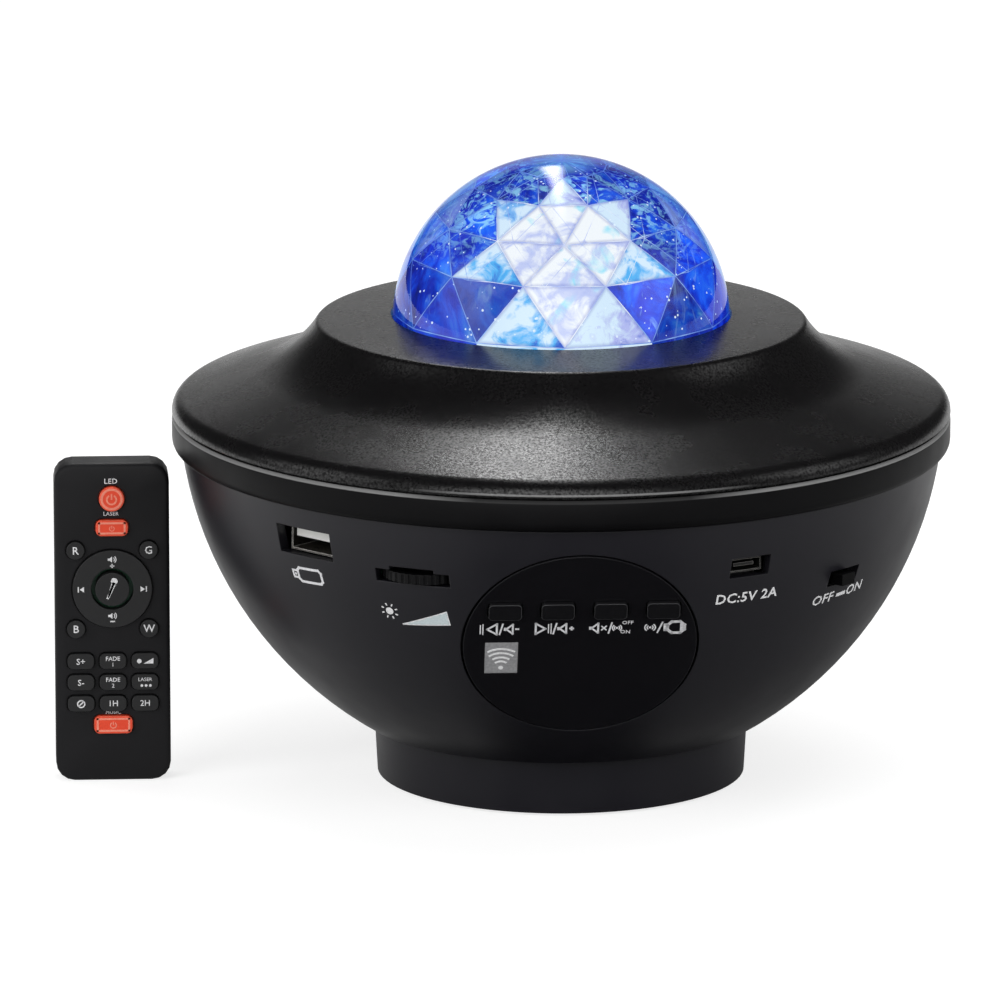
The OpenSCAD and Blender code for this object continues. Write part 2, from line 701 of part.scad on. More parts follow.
module panel_button(i) color(gloss) facet(0) translate([button_x(i), button_row, 0]) {
    translate([0, 0, panel_back - 0.3]) linear_extrude(panel_t + button_proud + 0.3)
        polygon(rounded(button_w, button_h, button_round));
    box(button_w + 2 * flange_edge, button_h + 2 * flange_edge,
        panel_back - fit - button_flange_t, panel_back - fit);
    box(stem_w, stem_h, tact_top + button_travel + 0.1, panel_back - fit - button_flange_t + 0.1);
}
module previous_button() panel_button(0);
module next_button() panel_button(1);
module mute_button() panel_button(2);
module mode_button() panel_button(3);

module button_board() color(green) facet(0) difference() {
    translate([0, 3, 0]) box(43, 32, button_board_face - button_board_t, button_board_face);
    at_board_bosses() disc(pilot_r, button_board_face - button_board_t - 1, button_board_face + 1);
}

module button_board_parts() color(steel) facet(0) {
    at_buttons() {
        box(6, 6, button_board_face, tact_top - 0.6);
        disc(1.6, tact_top - 0.7, tact_top);
    }
    translate([ir_x, ir_y, 0]) disc(2.4, button_board_face, pocket_floor - 0.4);
}

module ir_window() color(grey) facet(0) translate([ir_x, ir_y, 0])
    box(ir_w - 0.1, ir_h - 0.1, panel_back, panel_face);

// ---- Loudspeaker ----
module speaker_grille() color(black) facet(speaker_azimuth) translate([0, 0, panel_back])
    linear_extrude(panel_t) difference() {
        circle(r = panel_r);
        circle(r = grille_hole_r, $fn = 24);
        for (ring = [1:grille_rings]) for (i = [0:6 * ring - 1])
            rotate(60 * i / ring) translate([ring * grille_pitch, 0]) circle(r = grille_hole_r, $fn = 24);
    }

module speaker_frame() color(steel) facet(speaker_azimuth) translate([0, 0, pocket_floor]) {
    rotate_extrude() polygon([[speaker_hole_r - 1, 0], [speaker_hole_r + 3.4, 0], [speaker_hole_r + 3.4, -1.2],
        [speaker_hole_r, -1.2], [12, -11], [12, -18], [0, -18], [0, -16], [10, -11], [speaker_hole_r - 1, -1.4]]);
}

module speaker_cone() color(rubber) facet(speaker_azimuth) translate([0, 0, pocket_floor])
    rotate_extrude() polygon([[speaker_hole_r - 1.6, -1.4], [speaker_hole_r - 2.6, -0.6], [speaker_hole_r - 3.6, -1.4],
        [6, -7], [3, -5.8], [0, -5.4], [0, -6.2], [3, -6.6], [6, -7.9], [speaker_hole_r - 3.4, -2.2],
        [speaker_hole_r - 2.6, -1.4]]);

// ---- Fasteners and leads ----
module screw(z_head, length) {
    disc(screw_head_r, z_head - screw_head_h, z_head);
    disc(screw_r, z_head - 0.5, z_head + length);
}
module fasteners() color(steel) {
    ring_of(4, base_screw_r, 45) screw(plate_z + screw_head_h, 8);
    ring_of(4, boss_ring_r) screw(dome_flange_z - retainer_t, retainer_t + 1.4);
    ring_of(4, boss_ring_r, 45) screw(tray_z, 9);
    for (p = board_posts) translate([p.x, p.y, board_z]) mirror([0, 0, 1]) screw(0, 7);
    facet(0) at_board_bosses() screw(button_board_face - button_board_t, 4);
    tube(pin_r + 1.6, pin_r, disc_z + disc_hub_h + fit, disc_z + disc_hub_h + fit + 0.6);
}

// Tube along a route: a ring of points square to the route at each of its points
module lead(route, end = [0, 0, 1], sides = 8) {
    n = len(route);
    function direction(i) = let (d = route[min(i + 1, n - 1)] - route[max(i - 1, 0)]) d / norm(d);
    rings = [for (i = [0:n - 1]) let (
        w = i == 0 ? [0, 0, 1] : i == n - 1 ? end / norm(end) : direction(i),
        u0 = cross([0, 1, 0], w), u = u0 / norm(u0), v = cross(w, u))
        for (k = [0:sides - 1]) route[i] + lead_r * (cos(360 * k / sides) * u + sin(360 * k / sides) * v)];
    polyhedron(points = rings, faces = concat(
        [[for (k = [0:sides - 1]) k]],
        [for (i = [0:n - 2]) for (k = [0:sides - 1]) let (m = (k + 1) % sides)
            [i * sides + k, (i + 1) * sides + k, (i + 1) * sides + m, i * sides + m]],
        [[for (k = [sides - 1:-1:0]) (n - 1) * sides + k]]));
}
module wiring() color(key_red) {
    lead(lamp_lead);
    lead(speaker_lead, speaker_lead_end);
}

// ---- Remote control ----
// Its own frame has the face at y = 0 looking to -Y and its bottom centre at the origin.
module remote() {
    translate([-remote_x, -remote_face, 0]) children();
}
module slab(points, y0, y1) {
    translate([0, y1, 0]) rotate([90, 0, 0]) linear_extrude(y1 - y0) polygon(points);
}
function lifted(points, x, z) = [for (p = points) p + [x, z]];
function case_outline(inset) = lifted(
    rounded(remote_w - 2 * inset, remote_h - 2 * inset, remote_corner - inset), 0, remote_h / 2);

// Keys are [x, z, width, height], and a round key has equal width and height
function small_at(column, row) = concat([column * small_pitch_x, small_z + row * small_pitch_z], small_key);
led_place = [0, led_key_z, 5.3, 5.3];
laser_place = [0, laser_key_z, 6.8, 3.4];
red_place = [-red_x, upper_letter_z, 2 * letter_key_r, 2 * letter_key_r];
green_place = [red_x, upper_letter_z, 2 * letter_key_r, 2 * letter_key_r];
blue_place = [-red_x, lower_letter_z, 2 * letter_key_r, 2 * letter_key_r];
white_place = [red_x, lower_letter_z, 2 * letter_key_r, 2 * letter_key_r];
ring_place = [0, ring_z, 2 * ring_out, 2 * ring_out];
music_place = [0, music_key_z, 8.1, 3.8];
small_places = [for (row = [2:-1:0]) for (column = [-1:1]) small_at(column, row)];
key_places = concat([led_place, laser_place, red_place, green_place, blue_place, white_place, ring_place,
    music_place], small_places);
module key_outline(place, grow) {
    translate([place[0], place[1]])
        if (place[2] == place[3]) circle(r = place[2] / 2 + grow);
        else polygon(rounded(place[2] + 2 * grow, place[3] + 2 * grow, 1.2 + grow));
}
module key_slab(y0, y1) {
    translate([0, y1, 0]) rotate([90, 0, 0]) linear_extrude(y1 - y0) children();
}
module remote_key(place, tint) color(tint) remote() {
    key_slab(-key_proud, key_flange_y + 0.1) key_outline(place, 0);
    key_slab(key_flange_y, key_flange_y + key_flange) key_outline(place, key_fit + key_edge);
}

module remote_front_case() color(black) remote() difference() {
    slab(case_outline(0), 0, case_split);
    slab(case_outline(shell_t), front_t, case_split + 1);
    key_slab(-1, front_t + 1) for (place = key_places) key_outline(place, key_fit);
    translate([-drawer_w / 2 - fit, drawer_y - fit, -1]) cube([drawer_w + 2 * fit, remote_t, drawer_len / 2]);
}

module remote_back_case() color(black) remote() difference() {
    slab(case_outline(0), case_split, remote_t);
    slab(case_outline(shell_t), case_split - 1, remote_t - back_t);
    translate([-drawer_w / 2 - fit, case_split - 1, -1])
        cube([drawer_w + 2 * fit, remote_t - back_t - case_split + 1, drawer_len / 2]);
}

module remote_board() color(green) remote()
    slab(lifted(rounded(remote_w - 2 * shell_t - 2 * fit, remote_h - 2 * shell_t - 2 * fit, remote_corner - 2),
        0, remote_h / 2), remote_board_y, remote_board_y + remote_board_t);

module battery_drawer() color(black) remote() difference() {
    translate([-drawer_w / 2, drawer_y, 0.3]) cube([drawer_w, drawer_t, drawer_len]);
    translate([0, drawer_y + drawer_t - drawer_floor, cell_r + 2.6]) rotate([90, 0, 0])
        cylinder(r = cell_r + 0.1, h = drawer_t);
}

module coin_cell() color(steel) remote()
    translate([0, drawer_y + drawer_t - drawer_floor, cell_r + 2.6]) rotate([90, 0, 0]) cylinder(r = cell_r, h = cell_t);

module led_key() remote_key(led_place, key_red);
module laser_key() remote_key(laser_place, key_red);
module red_key() remote_key(red_place, rubber);
module green_key() remote_key(green_place, rubber);
module blue_key() remote_key(blue_place, rubber);
module white_key() remote_key(white_place, rubber);
module music_key() remote_key(music_place, key_red);
module ring_key() color(rubber) remote() {
    key_slab(-key_proud, key_flange_y + 0.1) difference() {
        key_outline(ring_place, 0);
        translate([0, ring_z]) circle(r = ring_in);
    }
    key_slab(key_flange_y, key_flange_y + key_flange) difference() {
        key_outline(ring_place, key_fit + key_edge);
        translate([0, ring_z]) circle(r = ring_in);
    }
}
module voice_key() color(rubber) remote()
    key_slab(-key_proud - 0.4, key_flange_y + key_flange) translate([0, ring_z]) circle(r = voice_r);
module speed_up_key() remote_key(small_places[0], rubber);
module fade_in_key() remote_key(small_places[1], rubber);
module star_key() remote_key(small_places[2], rubber);
module speed_down_key() remote_key(small_places[3], rubber);
module fade_out_key() remote_key(small_places[4], rubber);
module breathe_key() remote_key(small_places[5], rubber);
module cancel_key() remote_key(small_places[6], rubber);
module one_hour_key() remote_key(small_places[7], rubber);
module two_hour_key() remote_key(small_places[8], rubber);

bowl();
base_plate();
foot_pad();
rim_ring();
top_cover();
crystal_dome();
dome_retainer();
lamp_tray();
led_board();
led_chips();
led_lenses();
laser_module();
ripple_motor();
motor_pinion();
ripple_disc();
main_board();
board_parts();
usb_shell();
usb_tongue();
dc_socket();
switch_body();
switch_knob();
dimmer_body();
dimmer_wheel();
control_panel();
previous_button();
next_button();
mute_button();
mode_button();
button_board();
button_board_parts();
ir_window();
speaker_grille();
speaker_frame();
speaker_cone();
fasteners();
wiring();
remote_front_case();
remote_back_case();
remote_board();
battery_drawer();
coin_cell();
led_key();
laser_key();
red_key();
green_key();
blue_key();
white_key();
ring_key();
voice_key();
speed_up_key();
fade_in_key();
star_key();
speed_down_key();
fade_out_key();
breathe_key();
cancel_key();
one_hour_key();
two_hour_key();
music_key();
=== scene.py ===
import json
import math
import random

import bmesh
import bpy
from mathutils import Matrix, Vector

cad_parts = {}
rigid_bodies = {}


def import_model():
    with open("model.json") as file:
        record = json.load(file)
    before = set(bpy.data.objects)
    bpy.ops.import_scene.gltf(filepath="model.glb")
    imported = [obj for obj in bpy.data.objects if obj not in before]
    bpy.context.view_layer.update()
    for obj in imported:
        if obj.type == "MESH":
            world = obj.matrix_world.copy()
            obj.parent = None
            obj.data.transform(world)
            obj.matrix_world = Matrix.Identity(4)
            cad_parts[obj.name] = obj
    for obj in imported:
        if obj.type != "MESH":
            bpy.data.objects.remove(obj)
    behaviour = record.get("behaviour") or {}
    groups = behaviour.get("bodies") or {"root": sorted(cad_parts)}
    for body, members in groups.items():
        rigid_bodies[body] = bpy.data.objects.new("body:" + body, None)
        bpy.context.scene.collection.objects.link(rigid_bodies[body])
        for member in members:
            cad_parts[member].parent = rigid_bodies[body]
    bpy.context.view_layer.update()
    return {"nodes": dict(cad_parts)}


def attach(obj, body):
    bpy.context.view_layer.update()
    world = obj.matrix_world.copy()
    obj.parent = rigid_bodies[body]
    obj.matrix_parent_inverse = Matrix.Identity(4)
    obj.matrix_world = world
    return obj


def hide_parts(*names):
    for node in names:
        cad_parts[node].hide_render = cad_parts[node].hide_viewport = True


for leftover in list(bpy.data.objects):
    bpy.data.objects.remove(leftover)
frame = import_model()
nodes = frame["nodes"]
mm = 0.001
print("frame loaded,", len(nodes), "nodes")

# camera, floor, lamps and background
view = {
    "turn": -3,  # degrees from the front, towards the remote control
    "height": 13.5,  # degrees above the table
    "target": (-12.93, 0.81, 58.97),  # mm
    "distance": 2.36,  # m
    "lens": 400, "sensor": 36,  # mm
    "farthest": 20,  # m
}


def turned(azimuth, height, distance):  # place at a turn from the front and a height in degrees
    a, h = math.radians(azimuth), math.radians(height)
    return Vector((math.sin(a) * math.cos(h), -math.cos(a) * math.cos(h), math.sin(h))) * distance


def aimed(thing, spot):
    thing.rotation_euler = (spot - thing.location).to_track_quat("-Z", "Y").to_euler()


def placed(name, data):  # a new object in the scene
    thing = bpy.data.objects.new(name, data)
    bpy.context.scene.collection.objects.link(thing)
    return thing


def setCamera():
    camera = placed("camera", bpy.data.cameras.new("camera"))
    camera.data.lens = view["lens"]
    camera.data.sensor_width = view["sensor"]
    camera.data.clip_end = view["farthest"]
    target = Vector(view["target"]) * mm
    camera.location = target + turned(view["turn"], view["height"], view["distance"])
    aimed(camera, target)
    bpy.context.scene.camera = camera


# each lamp: turn, height, distance in m, width, length and watts, for matt surfaces alone
lamps = {
    "wideCeiling": (150, 78, 1.5, 1.6, 1.2, 15),
    "leftFill": (-52, 22, 1.5, 1.1, 1.1, 15),
    "rightFill": (46, 20, 1.5, 1.1, 1.1, 13),
}


def setLamps():
    middle = Vector((0, 0, 0.07))
    for name, (turn, height, distance, width, length, watts) in lamps.items():
        light = bpy.data.lights.new(name, "AREA")
        light.shape = "RECTANGLE"
        light.size, light.size_y = width, length
        light.energy = watts
        lamp = placed(name, light)
        lamp.location = middle + turned(turn, height, distance)
        aimed(lamp, middle)
        lamp.visible_glossy = False
        lamp.visible_transmission = False


def setInputs(tree, node, inputs):  # plain values are set, and sockets are linked
    for name, value in inputs.items():
        if hasattr(value, "is_linked"):
            tree.links.new(value, node.inputs[name])
        else:
            node.inputs[name].default_value = value


def addNode(tree, kind, inputs=None, **settings):
    node = tree.nodes.new(kind)
    for name, value in settings.items():
        setattr(node, name, value)
    setInputs(tree, node, inputs or {})
    return node


def ranged(tree, value, low, high, fromLow=0.3, fromHigh=0.7, curve="LINEAR"):
    return addNode(tree, "ShaderNodeMapRange", {"Value": value, "From Min": fromLow, "From Max": fromHigh,
                                                "To Min": low, "To Max": high}, interpolation_type=curve).outputs[0]


def eased(tree, value, low, high, fromLow, fromHigh):
    return ranged(tree, value, low, high, fromLow, fromHigh, "SMOOTHSTEP")


def combined(tree, operation, *values):  # sockets or plain numbers, two at a time from the left
    node = addNode(tree, "ShaderNodeMath", dict(enumerate(values[:2])), operation=operation)
    return combined(tree, operation, node.outputs[0], *values[2:]) if len(values) > 2 else node.outputs[0]


def product(tree, *values):
    return combined(tree, "MULTIPLY", *values)


def vectorMath(tree, operation, *values):
    return addNode(tree, "ShaderNodeVectorMath", dict(enumerate(values)), operation=operation).outputs


def axes(tree, vector):
    return addNode(tree, "ShaderNodeSeparateXYZ", {0: vector}).outputs


def onObject(tree):  # the place on the object, in m
    return addNode(tree, "ShaderNodeTexCoord").outputs["Object"]


def chosen(tree, factor, first, second):  # the second shader where the factor is 1
    return addNode(tree, "ShaderNodeMixShader", {0: factor, 1: first, 2: second}).outputs[0]


# what gloss and glass see round the object: directions as X, Y and Z from -1 to 1, with Y to the back
studio = {
    "above": 0.045,  # from all round
    "backdrop": 0.5, "backdropSides": (0.1, 0.38),  # a lit sheet low behind the object
    "backdropTop": (0.37, 0.47), "backdropNear": (0, 0.2),
    "strip": 14.5, "stripSides": (0, 0.075),  # a long light from high behind to overhead
    "stripFoot": (0.48, 0.6), "stripReach": (-0.3, 0.5), "stripFade": 2,
    "spots": ((-80, 20, 12, 26, 1.1), (80, 26, 10, 25, 1.05), (-10, 8, 6, 42, 2.1)),  # turn, height, inner, outer
    "soft": 0.32,  # matt surfaces get this from all round
}


def setWorld():
    world = bpy.data.worlds.new("studio")
    world.use_nodes = True
    bpy.context.scene.world = world
    tree = world.node_tree
    tree.nodes.clear()
    path = addNode(tree, "ShaderNodeLightPath").outputs
    where = addNode(tree, "ShaderNodeTexCoord").outputs["Generated"]
    x, y, z = axes(tree, where)
    aside = combined(tree, "ABSOLUTE", x)
    sheet = product(tree, eased(tree, z, studio["backdrop"], 0, *studio["backdropTop"]),
                    eased(tree, y, 0, 1, *studio["backdropNear"]),
                    eased(tree, aside, 1, 0, *studio["backdropSides"]))
    along = combined(tree, "POWER", ranged(tree, y, 0, 1, *studio["stripReach"]), studio["stripFade"])
    strip = product(tree, along, eased(tree, z, 0, studio["strip"], *studio["stripFoot"]),
                    eased(tree, aside, 1, 0, *studio["stripSides"]))
    level = combined(tree, "ADD", sheet, strip, studio["above"])
    for turn, height, inner, outer, power in studio["spots"]:
        aim = vectorMath(tree, "DOT_PRODUCT", where, turned(turn, height, 1))["Value"]
        ends = [math.cos(math.radians(angle)) for angle in (outer, inner)]
        level = combined(tree, "ADD", level, eased(tree, aim, 0, power, *ends))
    shiny = addNode(tree, "ShaderNodeBackground", {"Strength": level}).outputs[0]
    matt = addNode(tree, "ShaderNodeBackground", {"Strength": studio["soft"]}).outputs[0]
    white = addNode(tree, "ShaderNodeBackground").outputs[0]
    sharp = combined(tree, "MAXIMUM", path["Is Glossy Ray"], path["Is Transmission Ray"])
    seen = chosen(tree, path["Is Camera Ray"], chosen(tree, sharp, matt, shiny), white)
    addNode(tree, "ShaderNodeOutputWorld", {"Surface": seen})


# how gloss sees the floor: darkest in front, where the share of Y in the way outwards is -1
table = {
    "tone": 0.42, "glow": 0.74,  # only the camera sees the floor's own white
    "front": 0.03, "side": 0.42, "frontToSide": (-0.985, -0.8),
    "back": 0.5, "sideToBack": (-0.8, 0.5),
    "leftToRight": (1.25, 0.72, -0.9, 0.9),  # two levels, and the share of X at each
    "near": (0.35, 1, 0.04, 0.3),  # two levels, and the distance in m at each
    "strip": 0.4, "stripTurn": (-0.99, -0.9), "stripEdge": (0.33, 0.42),  # a pale strip far in front
}


def setFloor():
    bpy.ops.mesh.primitive_plane_add(size=8)
    floor = bpy.context.object
    floor.name = "floor"
    material = bpy.data.materials.new("paleTable")
    material.use_nodes = True
    tree = material.node_tree
    tree.nodes.clear()
    card = addNode(tree, "ShaderNodeBsdfDiffuse", {"Color": (table["tone"],) * 3 + (1,)}).outputs[0]
    glow = addNode(tree, "ShaderNodeEmission", {"Strength": table["glow"]}).outputs[0]
    both = addNode(tree, "ShaderNodeAddShader", {0: card, 1: glow}).outputs[0]
    where = onObject(tree)
    away = vectorMath(tree, "LENGTH", where)["Value"]
    x, y, _ = axes(tree, where)
    share = combined(tree, "DIVIDE", y, away)
    level = combined(tree, "ADD", eased(tree, share, table["front"], table["side"], *table["frontToSide"]),
                     ranged(tree, share, 0, table["back"], *table["sideToBack"]))
    level = product(tree, level, ranged(tree, combined(tree, "DIVIDE", x, away), *table["leftToRight"]),
                    eased(tree, away, *table["near"]))
    strip = product(tree, eased(tree, share, 1, 0, *table["stripTurn"]),
                    eased(tree, away, 0, table["strip"], *table["stripEdge"]))
    sheen = addNode(tree, "ShaderNodeEmission", {"Strength": combined(tree, "ADD", level, strip)}).outputs[0]
    path = addNode(tree, "ShaderNodeLightPath").outputs
    seen = chosen(tree, path["Is Camera Ray"], chosen(tree, path["Is Glossy Ray"], card, sheen), both)
    addNode(tree, "ShaderNodeOutputMaterial", {"Surface": seen})
    floor.data.materials.append(material)


setCamera()
setLamps()
setWorld()
setFloor()
bpy.context.scene.view_settings.view_transform = "Standard"
print("studio ready")


# finishes
def newFinish(name):
    material = bpy.data.materials.new(name)
    material.use_nodes = True
    tree = material.node_tree
    return material, tree, tree.nodes["Principled BSDF"]


def objectPlace(tree, stretch=(1, 1, 1)):
    where = onObject(tree)
    return addNode(tree, "ShaderNodeMapping", {"Scale": stretch, "Vector": where}).outputs[0]


def noise(tree, place, size, detail=2, rough=0.5, twist=0):  # size of a blotch in mm
    return addNode(tree, "ShaderNodeTexNoise", {"Scale": 1 / (size * mm), "Detail": detail, "Roughness": rough,
                                                "Distortion": twist, "Vector": place}).outputs["Fac"]


def blended(tree, factor, low, high):  # mixes two colours, or what two sockets give
    low, high = (value if hasattr(value, "is_linked") else (*value, 1) for value in (low, high))
    return addNode(tree, "ShaderNodeMix", {"Factor": factor, 6: low, 7: high}, data_type="RGBA").outputs[2]


def bumped(tree, height, depth, normal=None):  # depth of the relief in mm
    inputs = {"Distance": depth * mm, "Height": height}
    if normal:
        inputs["Normal"] = normal
    return addNode(tree, "ShaderNodeBump", inputs).outputs[0]


def sharpEdges(tree, radius):  # near 1 on sharp outer edges
    rounded = addNode(tree, "ShaderNodeBevel", {"Radius": radius * mm}, samples=4).outputs[0]
    flat = addNode(tree, "ShaderNodeNewGeometry").outputs["Normal"]
    return ranged(tree, vectorMath(tree, "DOT_PRODUCT", rounded, flat)["Value"], 1, 0, 0.86, 0.995), rounded


# the parting line, in mm: painted shade in the groove between cover and rim band, and painted highlights along the
# rim band's lip and the cover's front edge; where each band starts, is full, fades and ends, or the two ends of a
# slope
parting = {
    "groove": (78.45, 78.6, 79.2, 79.35), "inside": (81.6, 82.1),
    "lip": (77.73, 77.85, 78.4, 78.5), "lipSides": (22, 38), "lipFront": 0.12,
    "frontLine": (79.3, 79.4, 79.7, 79.85), "frontSides": (20, 36), "frontDepth": (-75, -60),
}


def inMetres(name):
    return [value * mm for value in parting[name]]


def band(tree, height, start, full, fading, end):
    return product(tree, eased(tree, height, 0, 1, start, full), eased(tree, height, 1, 0, fading, end))


# painted shade in the parting groove, and painted highlight lines beside it
def grooved(tree, tone, look):
    x, y, z = axes(tree, objectPlace(tree))
    aside = combined(tree, "ABSOLUTE", x)
    squares = combined(tree, "ADD", combined(tree, "POWER", x, 2), combined(tree, "POWER", y, 2))
    radius = combined(tree, "SQRT", squares)
    # painted shade: darker in the groove at the parting line
    lines = [("groove", eased(tree, radius, 1, 0, *inMetres("inside")))]
    if "lip" in look:  # a painted highlight on the rim band's lip, faint at the front
        lines.append(("lip", ranged(tree, aside, parting["lipFront"], 1, *inMetres("lipSides"))))
    if "frontLine" in look:  # a painted highlight along the cover's lower edge, at the front
        lines.append(("frontLine", product(tree, ranged(tree, aside, 1, 0, *inMetres("frontSides")),
                                           ranged(tree, y, 1, 0, *inMetres("frontDepth")))))
    for name, share in lines:
        line = product(tree, band(tree, z, *inMetres(name)), share)
        tone = blended(tree, line, tone, (look[name],) * 3)
    return tone


def mouldedPlastic(name, look):
    material, tree, shader = newFinish(name)
    place = objectPlace(tree)
    cloud = noise(tree, place, look["cloud"], 3)
    grain = noise(tree, place, look["grain"], 2, 0.6)
    wearAndGlint, rounded = sharpEdges(tree, look["edge"])
    # pale edges: wear on most plastics, a painted glint on the buttons and a painted highlight on the socket shells
    tone = blended(tree, wearAndGlint, blended(tree, cloud, look["colour"], look["shade"]), look["edgeColour"])
    # painted shade and painted highlights along the parting line
    if "groove" in look:
        tone = grooved(tree, tone, look)
    specular = ranged(tree, grain, *look["speckle"], 0.35, 0.65) if "speckle" in look else look["specular"]
    setInputs(tree, shader, {"Base Color": tone, "Roughness": ranged(tree, cloud, *look["gloss"]),
                             "Normal": bumped(tree, grain, look["relief"], rounded), "Specular IOR Level": specular})
    return material


def plastic(colour, shade, edgeColour, gloss, cloud, grain, relief, edge=0.35, specular=0.5, **more):  # lengths in mm
    return {"colour": colour, "shade": shade, "edgeColour": edgeColour, "gloss": gloss, "cloud": cloud,
            "grain": grain, "relief": relief, "edge": edge, "specular": specular, **more}


plastics = {
    "bowlSatin": plastic(
        (0.0095, 0.0091, 0.0122), (0.0115, 0.011, 0.0145), (0.022, 0.022, 0.025), (0.34, 0.42), 14, 0.5, 0.004),
    # the cover: painted shade in the parting groove, and a painted highlight along its lower edge at the front
    "coverTexture": plastic(
        (0.003, 0.0028, 0.0031), (0.0044, 0.0041, 0.0044), (0.014, 0.014, 0.015), (0.25, 0.29), 9, 0.5, 0.018,
        speckle=(0.12, 0.92), groove=0.0012, frontLine=0.16),
    # the rim band: painted shade in the parting groove, and a painted highlight along its lip
    "rimSatin": plastic(
        (0.0034, 0.0033, 0.0037), (0.0046, 0.0045, 0.005), (0.012, 0.012, 0.013), (0.36, 0.44), 10, 0.4, 0.006,
        specular=0.12, groove=0.001, lip=0.2),
    "grilleSatin": plastic(
        (0.0085, 0.0084, 0.0095), (0.0105, 0.0102, 0.0115), (0.024, 0.024, 0.026), (0.36, 0.44), 10, 0.4, 0.006),
    "footSatin": plastic(
        (0.0056, 0.0056, 0.0062), (0.007, 0.007, 0.0078), (0.02, 0.02, 0.022), (0.42, 0.5), 12, 0.4, 0.006,
        specular=0.35),
    "panelGloss": plastic(
        (0.0052, 0.005, 0.0062), (0.0066, 0.0063, 0.0078), (0.018, 0.018, 0.02), (0.2, 0.27), 10, 0.8, 0.002,
        specular=0.4),
    # the buttons: their pale edge colour is a painted glint
    "buttonGloss": plastic(
        (0.0065, 0.0065, 0.0075), (0.0085, 0.0085, 0.0095), (0.1, 0.1, 0.105), (0.16, 0.22), 4, 0.6, 0.002,
        edge=0.25),
    "knobBlack": plastic(
        (0.0012, 0.0012, 0.0014), (0.0022, 0.0022, 0.0024), (0.01, 0.01, 0.011), (0.35, 0.45), 3, 0.3, 0.004,
        edge=0.25, specular=0.1),
    "wheelBlack": plastic(
        (0.002, 0.002, 0.0023), (0.0036, 0.0036, 0.004), (0.016, 0.016, 0.017), (0.35, 0.45), 3, 0.3, 0.005,
        edge=0.25, specular=0.2),
    # the sockets' metal shells: their pale edge colour is a painted highlight
    "socketSteel": plastic(
        (0.006, 0.006, 0.006), (0.014, 0.014, 0.013), (0.34, 0.33, 0.31), (0.3, 0.42), 2, 0.2, 0.004, edge=0.22),
    "shellSteel": plastic(
        (0.01, 0.009, 0.008), (0.035, 0.032, 0.026), (0.85, 0.83, 0.78), (0.25, 0.38), 1.6, 0.2, 0.004, edge=0.3),
    "remoteSatin": plastic(
        (0.01, 0.0098, 0.0106), (0.0126, 0.0124, 0.0136), (0.03, 0.03, 0.032), (0.4, 0.5), 6, 0.25, 0.006,
        specular=0.2),
    "keyRubber": plastic(
        (0.0105, 0.0105, 0.011), (0.0135, 0.0135, 0.0142), (0.03, 0.03, 0.031), (0.48, 0.58), 3, 0.2, 0.005,
        edge=0.25),
    "keyRed": plastic(
        (0.8, 0.06, 0.022), (0.88, 0.085, 0.035), (0.9, 0.22, 0.13), (0.4, 0.48), 2.5, 0.2, 0.004, edge=0.3),
    "footRubber": plastic(
        (0.018, 0.018, 0.019), (0.024, 0.024, 0.025), (0.04, 0.04, 0.04), (0.7, 0.85), 4, 0.4, 0.02),
    "trayBlack": plastic((0.012, 0.012, 0.013), (0.018, 0.018, 0.019), (0.03, 0.03, 0.03), (0.5, 0.6), 8, 0.4, 0.01),
    "whiteNylon": plastic((0.74, 0.74, 0.71), (0.82, 0.82, 0.79), (0.88, 0.88, 0.86), (0.35, 0.45), 3, 0.3, 0.005),
    "ledMask": plastic((0.7, 0.71, 0.72), (0.8, 0.81, 0.82), (0.55, 0.5, 0.35), (0.25, 0.4), 5, 0.5, 0.004),
    "clearAcrylic": plastic((0.45, 0.55, 0.85), (0.55, 0.65, 0.92), (0.85, 0.9, 1), (0.06, 0.12), 4, 0.6, 0.004),
    "irWindow": plastic((0.14, 0.14, 0.145), (0.4, 0.4, 0.41), (0.36, 0.36, 0.37), (0.3, 0.42), 0.5, 0.3, 0.008),
    "conePaper": plastic(
        (0.018, 0.017, 0.016), (0.034, 0.032, 0.03), (0.05, 0.05, 0.05), (0.8, 0.9), 0.8, 0.25, 0.03),
    "leadSleeve": plastic((0.55, 0.03, 0.02), (0.62, 0.045, 0.03), (0.65, 0.1, 0.08), (0.4, 0.5), 3, 0.3, 0.004),
    "chipEpoxy": plastic(
        (0.01, 0.01, 0.011), (0.016, 0.016, 0.017), (0.05, 0.05, 0.05), (0.45, 0.6), 2, 0.15, 0.006),
    "ledPhosphor": plastic((0.75, 0.62, 0.16), (0.85, 0.72, 0.22), (0.8, 0.8, 0.7), (0.3, 0.4), 1, 0.2, 0.004),
}


def brushedMetal(name, colour, dull, roughness):
    material, tree, shader = newFinish(name)
    brush = noise(tree, objectPlace(tree, (1, 1, 0.06)), 0.12, 2, 0.7)
    tarnish = noise(tree, objectPlace(tree), 2.5, 4, 0.6)
    setInputs(tree, shader, {"Base Color": blended(tree, tarnish, colour, dull), "Metallic": 1,
                             "Roughness": ranged(tree, tarnish, roughness, roughness + 0.14),
                             "Normal": bumped(tree, brush, 0.004)})
    return material


